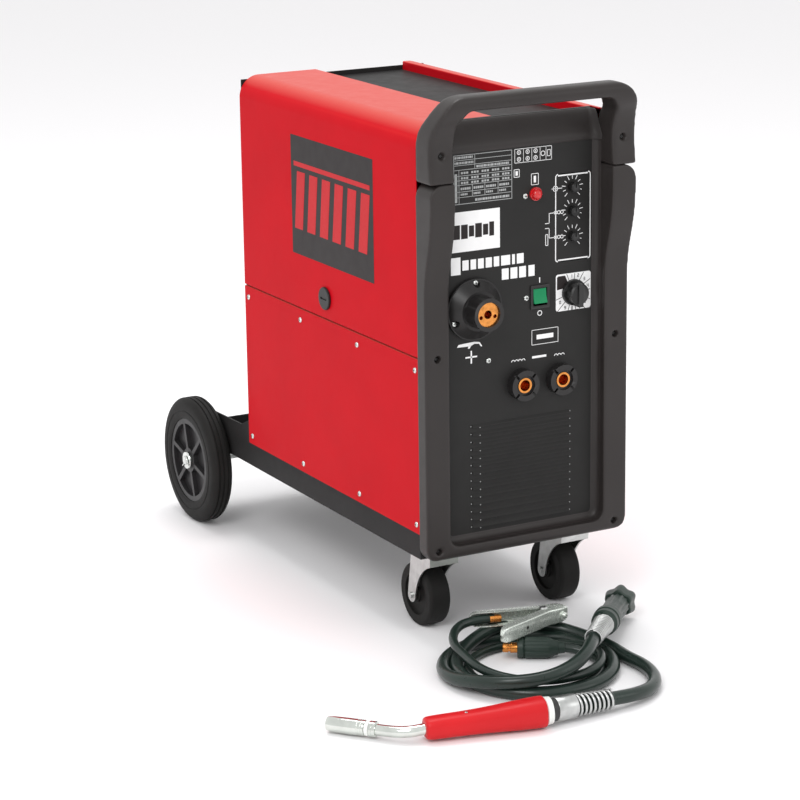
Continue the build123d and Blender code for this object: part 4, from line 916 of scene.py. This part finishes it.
def add_selector_scale():
    """A white rounded square with dark dividers, numbers and one dark sector behind the selector knob."""
    plate = Print()
    corner = 3.0
    plate.fill([polar(u, z, corner, turn + 15 * k)
                for u, z, turn in corner_centres(49.5, 99.0, 393.0, 438.6, corner) for k in range(7)])
    plate.done("selector_plate", WHITE)
    dark = Print()
    cu, cz = 74.0, 415.0
    dark.fill([(cu - 5, cz + 7), (cu - 11.5, cz + 21.4), (cu - 21.5, cz + 21.4), (cu - 23, cz + 19.6),
               (cu - 23, cz + 4.5)], ON_TOP)

    def to_edge(angle, half_wide, half_tall):
        """How far a line at this angle runs from the dial's middle to a rectangle round it."""
        across, along = math.cos(math.radians(angle)), math.sin(math.radians(angle))
        return min(half_wide / max(0.01, abs(across)), half_tall / max(0.01, abs(along)))

    for k in range(11):
        angle = 112 - 27.5 * k
        dark.stroke([polar(cu, cz, 12, angle), polar(cu, cz, to_edge(angle, 24.0, 22.6), angle)], 0.7, ON_TOP)
    for k in range(10):
        angle = 98 - 27.5 * k
        spot = polar(cu, cz, min(to_edge(angle, 21.0, 19.8), 21.5), angle)
        add_digit(dark, str((k + 1) % 10), *spot, 3.4, 0.6, ON_TOP)
    dark.done("selector_marks", LABEL_BLACK)


def add_door_label():
    """The door's dark plate with a plain red pattern: six slanted blocks under a bar."""
    back0, back1, z0, z1 = 107.6, 327.1, 429.0, 581.0
    plate = Print(on_door=True)
    plate.bar(back0, back1, z0, z1)
    plate.done("door_label", LABEL_BLACK)
    pattern = Print(on_door=True)
    middle = (z0 + z1) / 2 - 6
    margin, wide, tall, lean = 8, 22, 37.0, 9.0
    for k in range(6):
        start = back0 + margin + k * 34.5
        pattern.fill([(start + lean, middle - tall), (start + lean + wide, middle - tall),
                      (start + wide, middle + tall), (start, middle + tall)], ON_TOP)
    pattern.bar(back0 + margin, back1 - margin, middle + tall + 6, middle + tall + 12, ON_TOP)
    pattern.done("door_pattern", LABEL_RED)


# ---- the CAD nodes that keep their shape -----------------------------------------------------------
def dress_all():
    """Each CAD node that no piece stands for gets its material and its edge width."""
    for material, bevel, nodes in (
            (RED, 0.0004, "right_cover left_lower_panel side_door"),
            (BLACK_PAINT, 0.0005, "base_frame rear_panel top_tray"),
            (PANEL_BLACK, 0.0003, "front_panel"),
            (ZINC, 0, "centre_wall"),
            (SOCKET_BLACK, 0.0006, "socket_shells"),
            (BRASS, 0.0005, "socket_brass"),
            (LAMP_RED, 0, "signal_lamp"),
            (SOCKET_BLACK, 0.0005, "switch_bezel"),
            (GREEN, 0.0006, "rocker"),
            (KNOB_BLACK, 0.0004, "selector_knob trim_knob_top trim_knob_middle trim_knob_bottom"),
            (KNOB_BLACK, 0.0004, "door_lock spool_hub fan_rotor"),
            (SOCKET_BLACK, 0.0006, "fan_housing rear_inlets"),
            (LAMINATION, 0.0005, "transformer_core smoothing_choke"),
            (COPPER, 0.0005, "transformer_windings"),
            (ALUMINIUM, 0.0004, "rectifier feeder_plate pressure_arm"),
            (BOARD, 0.0002, "control_board"),
            (ZINC, 0.0004, "feed_motor drive_roll pressure_roll caster_plates"),
            (ZINC, 0.0004, "caster_fork_left caster_fork_right"),
            (REEL, 0.0008, "wire_reel"),
            (HUB, 0.0008, "rear_hub_left rear_hub_right"),
            (RUBBER, 0.0008, "caster_wheel_left caster_wheel_right")):
        for node in nodes.split():
            dress(node, material, bevel)


# ---- screw heads, wheels, mouldings and winding ----------------------------------------------------
def add_head(bm, spot, axis, radius, tall):
    """A domed head with a cross recess, which is four dark arms sunk in its top: painted shade in place of
    the shaded recess.
    """
    add_lathe(bm, spot, axis, [(0, 0.3), (0, radius), (tall * 0.35, radius), (tall * 0.75, radius * 0.82),
                               (tall, radius * 0.45), (tall, 0.2)], 24)
    x, y, z = basis(axis)
    top = spot + z * (tall * MM)
    for along, across in ((x, y), (y, x)):
        corners = [top + along * a * radius * 0.5 * MM + across * b * radius * 0.11 * MM
                   for a, b in ((-1, -1), (1, -1), (1, 1), (-1, 1))]
        low = [bm.verts.new(c - z * 0.0003) for c in corners]
        high = [bm.verts.new(c + z * 0.00006) for c in corners]
        prism(bm, low, high, 1)


def add_screws():
    """Bright heads on the covers and the panel, dark ones on the mouldings."""
    bright, dark = bmesh.new(), bmesh.new()
    rows = (343.3, 152.0)
    for back in (8.0, 155.0, 310.0, 462.0):
        for z in rows:
            add_head(bright, at(-SIDE, back, z), (-1, 0, 0), 3.6, 2.1)
        for z in (600.0, *rows):
            add_head(bright, at(SIDE, back, z), (1, 0, 0), 3.6, 2.1)
    for x, z in ((6.6, 539.4), (7.8, 415.2), (-45.0, 345.0)):
        add_head(bright, at(x, -3, z), (0, -1, 0), 3.7, 2.2)
    for turn in (90, 205, 335):
        x, z = polar(-65.5, 411, 32.5, turn)
        add_head(bright, at(x, -8.6, z), (0, -1, 0), 3.6, 2.2)
    for x in (-124, 124):
        for z in (122.0, 360.0):
            add_head(dark, at(x, -13.4, z), (0, -1, 0), 3.9, 2.4)
        add_head(dark, at(x, -28.2, 604), (0, -1, 0), 3.9, 2.6)
    # the bright heads' crosses take the dark material: painted shade in their recesses
    finish_piece("cover_screws", bright, BRIGHT_ZINC, "chassis", ["screws"], 40, (SCREW_BLACK_AND_PAINTED_SHADE,))
    finish_piece("moulding_screws", dark, SCREW_BLACK_AND_PAINTED_SHADE, "chassis", (), 40, (KNOB_BLACK,))


def add_tyres():
    """Solid rubber tyres with stepped side walls and three grooves round the tread."""
    for side in ("left", "right"):
        low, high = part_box(f"rear_tyre_{side}")
        centre = (low + high) / 2
        half = (high.x - low.x) / 2 / MM
        reach = (high.z - low.z) / 2 / MM
        flank = [(-half + along, radius)
                 for along, radius in ((1.2, 58.1), (0.4, 61), (0, 64), (0, 68), (0.7, 68.8), (0.7, 70.4),
                                       (0, 71.2), (0, 77), (0.8, 80), (2.4, 83.6), (4.6, reach - 1.2))]
        tread = [(-half + 6.6, reach - 0.2)]
        for groove in (-0.42 * half, 0.0, 0.42 * half):
            tread += [(groove - 1.3, reach), (groove - 0.8, reach - 1.5), (groove + 0.8, reach - 1.5),
                      (groove + 1.3, reach)]
        profile = flank + tread + [(-a, r) for a, r in reversed(flank)]
        bm = bmesh.new()
        add_lathe(bm, centre, (1, 0, 0), profile, 96, ring=True)
        finish_piece(f"tyre_{side}", bm, RUBBER, f"rear_wheel_{side}",
                     [f"rear_tyre_{side}"], 30)


def add_window_cove():
    """The hollow moulded edge between the front panel and the frame round it, along three sides."""
    reach, half, low, top, corner = 8.0, 108.0, 125.0, 600.0, 13.0
    path = [((-half, z), (1, 0)) for z in (top, 500, 400, 300, 200)]
    for centre, first in ((-half + corner, 180), (half - corner, 270)):
        for step in range(7):
            u, v = polar(0, 0, 1, first + 15 * step)
            path.append(((centre + corner * u, low + corner + corner * v), (-u, -v)))
    path += [((half, z), (-1, 0)) for z in (200, 300, 400, 500, top)]
    section = [(-0.6, 0.05)]
    for step in range(7):
        angle = math.radians(15 * step)
        section.append((reach * (1 - math.cos(angle)), reach * (1 - math.sin(angle)) + 0.05))
    bm = bmesh.new()
    rings = [[bm.verts.new(Vector(((x + n[0] * a) * MM, PANEL - b * MM, (z + n[1] * a) * MM)))
              for a, b in section] for (x, z), n in path]
    bridge(bm, rings)
    finish_piece("window_cove", bm, MOULDING, "chassis", (), 50)


def add_louvre_painted_glints():
    """Painted highlights: small light grey marks at both ends of each louvre, and one more near each louvre's
    left end, standing in for glints of light.
    """
    ends = Print()
    for row in range(14):
        level = 266.5 - 9.7 * row
        for u in (-69.8, 69.8):
            ends.bar(u - 0.6, u + 0.6, level - 0.6, level + 0.6)
        ends.bar(-59.0, -57.8, level - 2.4, level - 1.4, 2.3)
    ends.done("louvre_painted_glints", GREY_PRINT)


def add_winding():
    """The wound wire on the reel, as close ridges."""
    low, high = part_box("wire_reel")
    centre = (low + high) / 2
    bm = bmesh.new()
    profile = [(-22.0, 83.0), (-22.0, 84.2)]
    for k in range(40):
        along = -21.6 + k * 1.08
        profile += [(along, 84.5), (along + 0.3, 85.1), (along + 0.6, 85.1), (along + 0.9, 84.5)]
    profile += [(22.0, 84.2), (22.0, 83.0)]
    add_lathe(bm, centre, (1, 0, 0), profile, 72, ring=True)
    finish_piece("reel_winding", bm, WIRE, "wire_reel", (), 80)


def add_axle():
    """The rear axle with its end washers, turned ends and wire clips."""
    low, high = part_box("rear_axle")
    middle = (low + high) / 2
    half = (high.x - low.x) / 2 / MM
    bm = bmesh.new()
    end = [(0, 0.4), (0, 5.0), (0.8, 5.8), (2.6, 5.8), (2.6, 11.6), (3.9, 12.2), (4.0, 7.9)]
    add_lathe(bm, middle - Vector((half * MM, 0, 0)), (1, 0, 0),
              end + [(2 * half - along, radius) for along, radius in reversed(end)], 48)
    for sign in (-1, 1):
        face = middle + Vector((sign * (half - 1.5) * MM, 0, 0))
        clip = [face + Vector((0, a, b)) * MM
                for a, b in ((-11, -4), (-6.6, -2.6), (-6.4, 2.2), (-2, 6.4), (4.6, 4.8), (6.6, -1.0),
                             (4.4, -5.4), (9.5, -9.5))]
        add_tube(bm, spline_points(clip, 6), 0.0009, 8)
    finish_piece("axle_with_clips", bm, BRIGHT_ZINC, "chassis", ["rear_axle"], 35)


def add_fascia():
    """The soft sloped top of the front moulding: an S-shaped sweep that curls forward into both pillars."""
    line = [(0.9, 598.4), (0.1, 599.6), (-0.6, 601.4), (-0.8, 604.0), (0.0, 607.4), (2.6, 612.5),
            (6.0, 619.5), (9.4, 626.0), (11.8, 630.8), (13.8, 633.8), (15.8, 635.4)]
    bm = bmesh.new()
    grid = []
    half, cove, steps = 107.6, 11.0, 60
    for step in range(steps + 1):
        x = -half + 2 * half * step / steps
        past = max(0.0, abs(x) - (half - cove))
        curl = cove - math.sqrt(max(0.0, cove * cove - past * past))
        grid.append([bm.verts.new(Vector((x * MM, PANEL + (y - 0.6 - curl * 0.9) * MM, z * MM)))
                     for y, z in line])
    for a, b in zip(grid, grid[1:]):
        for k in range(len(line) - 1):
            bm.faces.new((a[k], a[k + 1], b[k + 1], b[k]))
    fascia = finish_piece("fascia_moulding", bm, MOULDING, "chassis", (), 60)
    thick = fascia.modifiers.new("thick", "SOLIDIFY")
    thick.thickness = 0.0008
    smooth = fascia.modifiers.new("smooth", "SUBSURF")
    smooth.levels = smooth.render_levels = 1


# ---- the scene -------------------------------------------------------------------------------------
add_camera()
add_stage()
add_connector()
add_torch()
add_earth_plug()
add_clamp()
add_cord("torch_lead", connector_route + torch_turns() + torch_route, TORCH_D,
         ["torch_cable", "torch_cable_coil"])
add_cord("earth_lead", plug_route + earth_turns() + clamp_route, EARTH_D, ["earth_cable", "earth_cable_coil"])
moulded_copy("front_moulding", "front_frame", MOULDING, "chassis", 10)
moulded_copy("handle_moulding", "handle", MOULDING, "chassis", 34)
dress_all()
add_rating_table()
add_panel_marks()
add_title()
add_selector_scale()
add_door_label()
add_screws()
add_tyres()
add_axle()
add_fascia()
add_window_cove()
add_louvre_painted_glints()
add_winding()

add_light("key", (-2.6, -2.6, 3.2), (0, 0, 0.4), (1.8, 1.8), 62)
add_light("fill", (2.2, -2.8, 1.6), (0, 0, 0.3), (2.0, 1.6), 10)
add_light("top", (0.2, 0.6, 3.4), (0, 0, 0.5), (1.6, 1.6), 45)
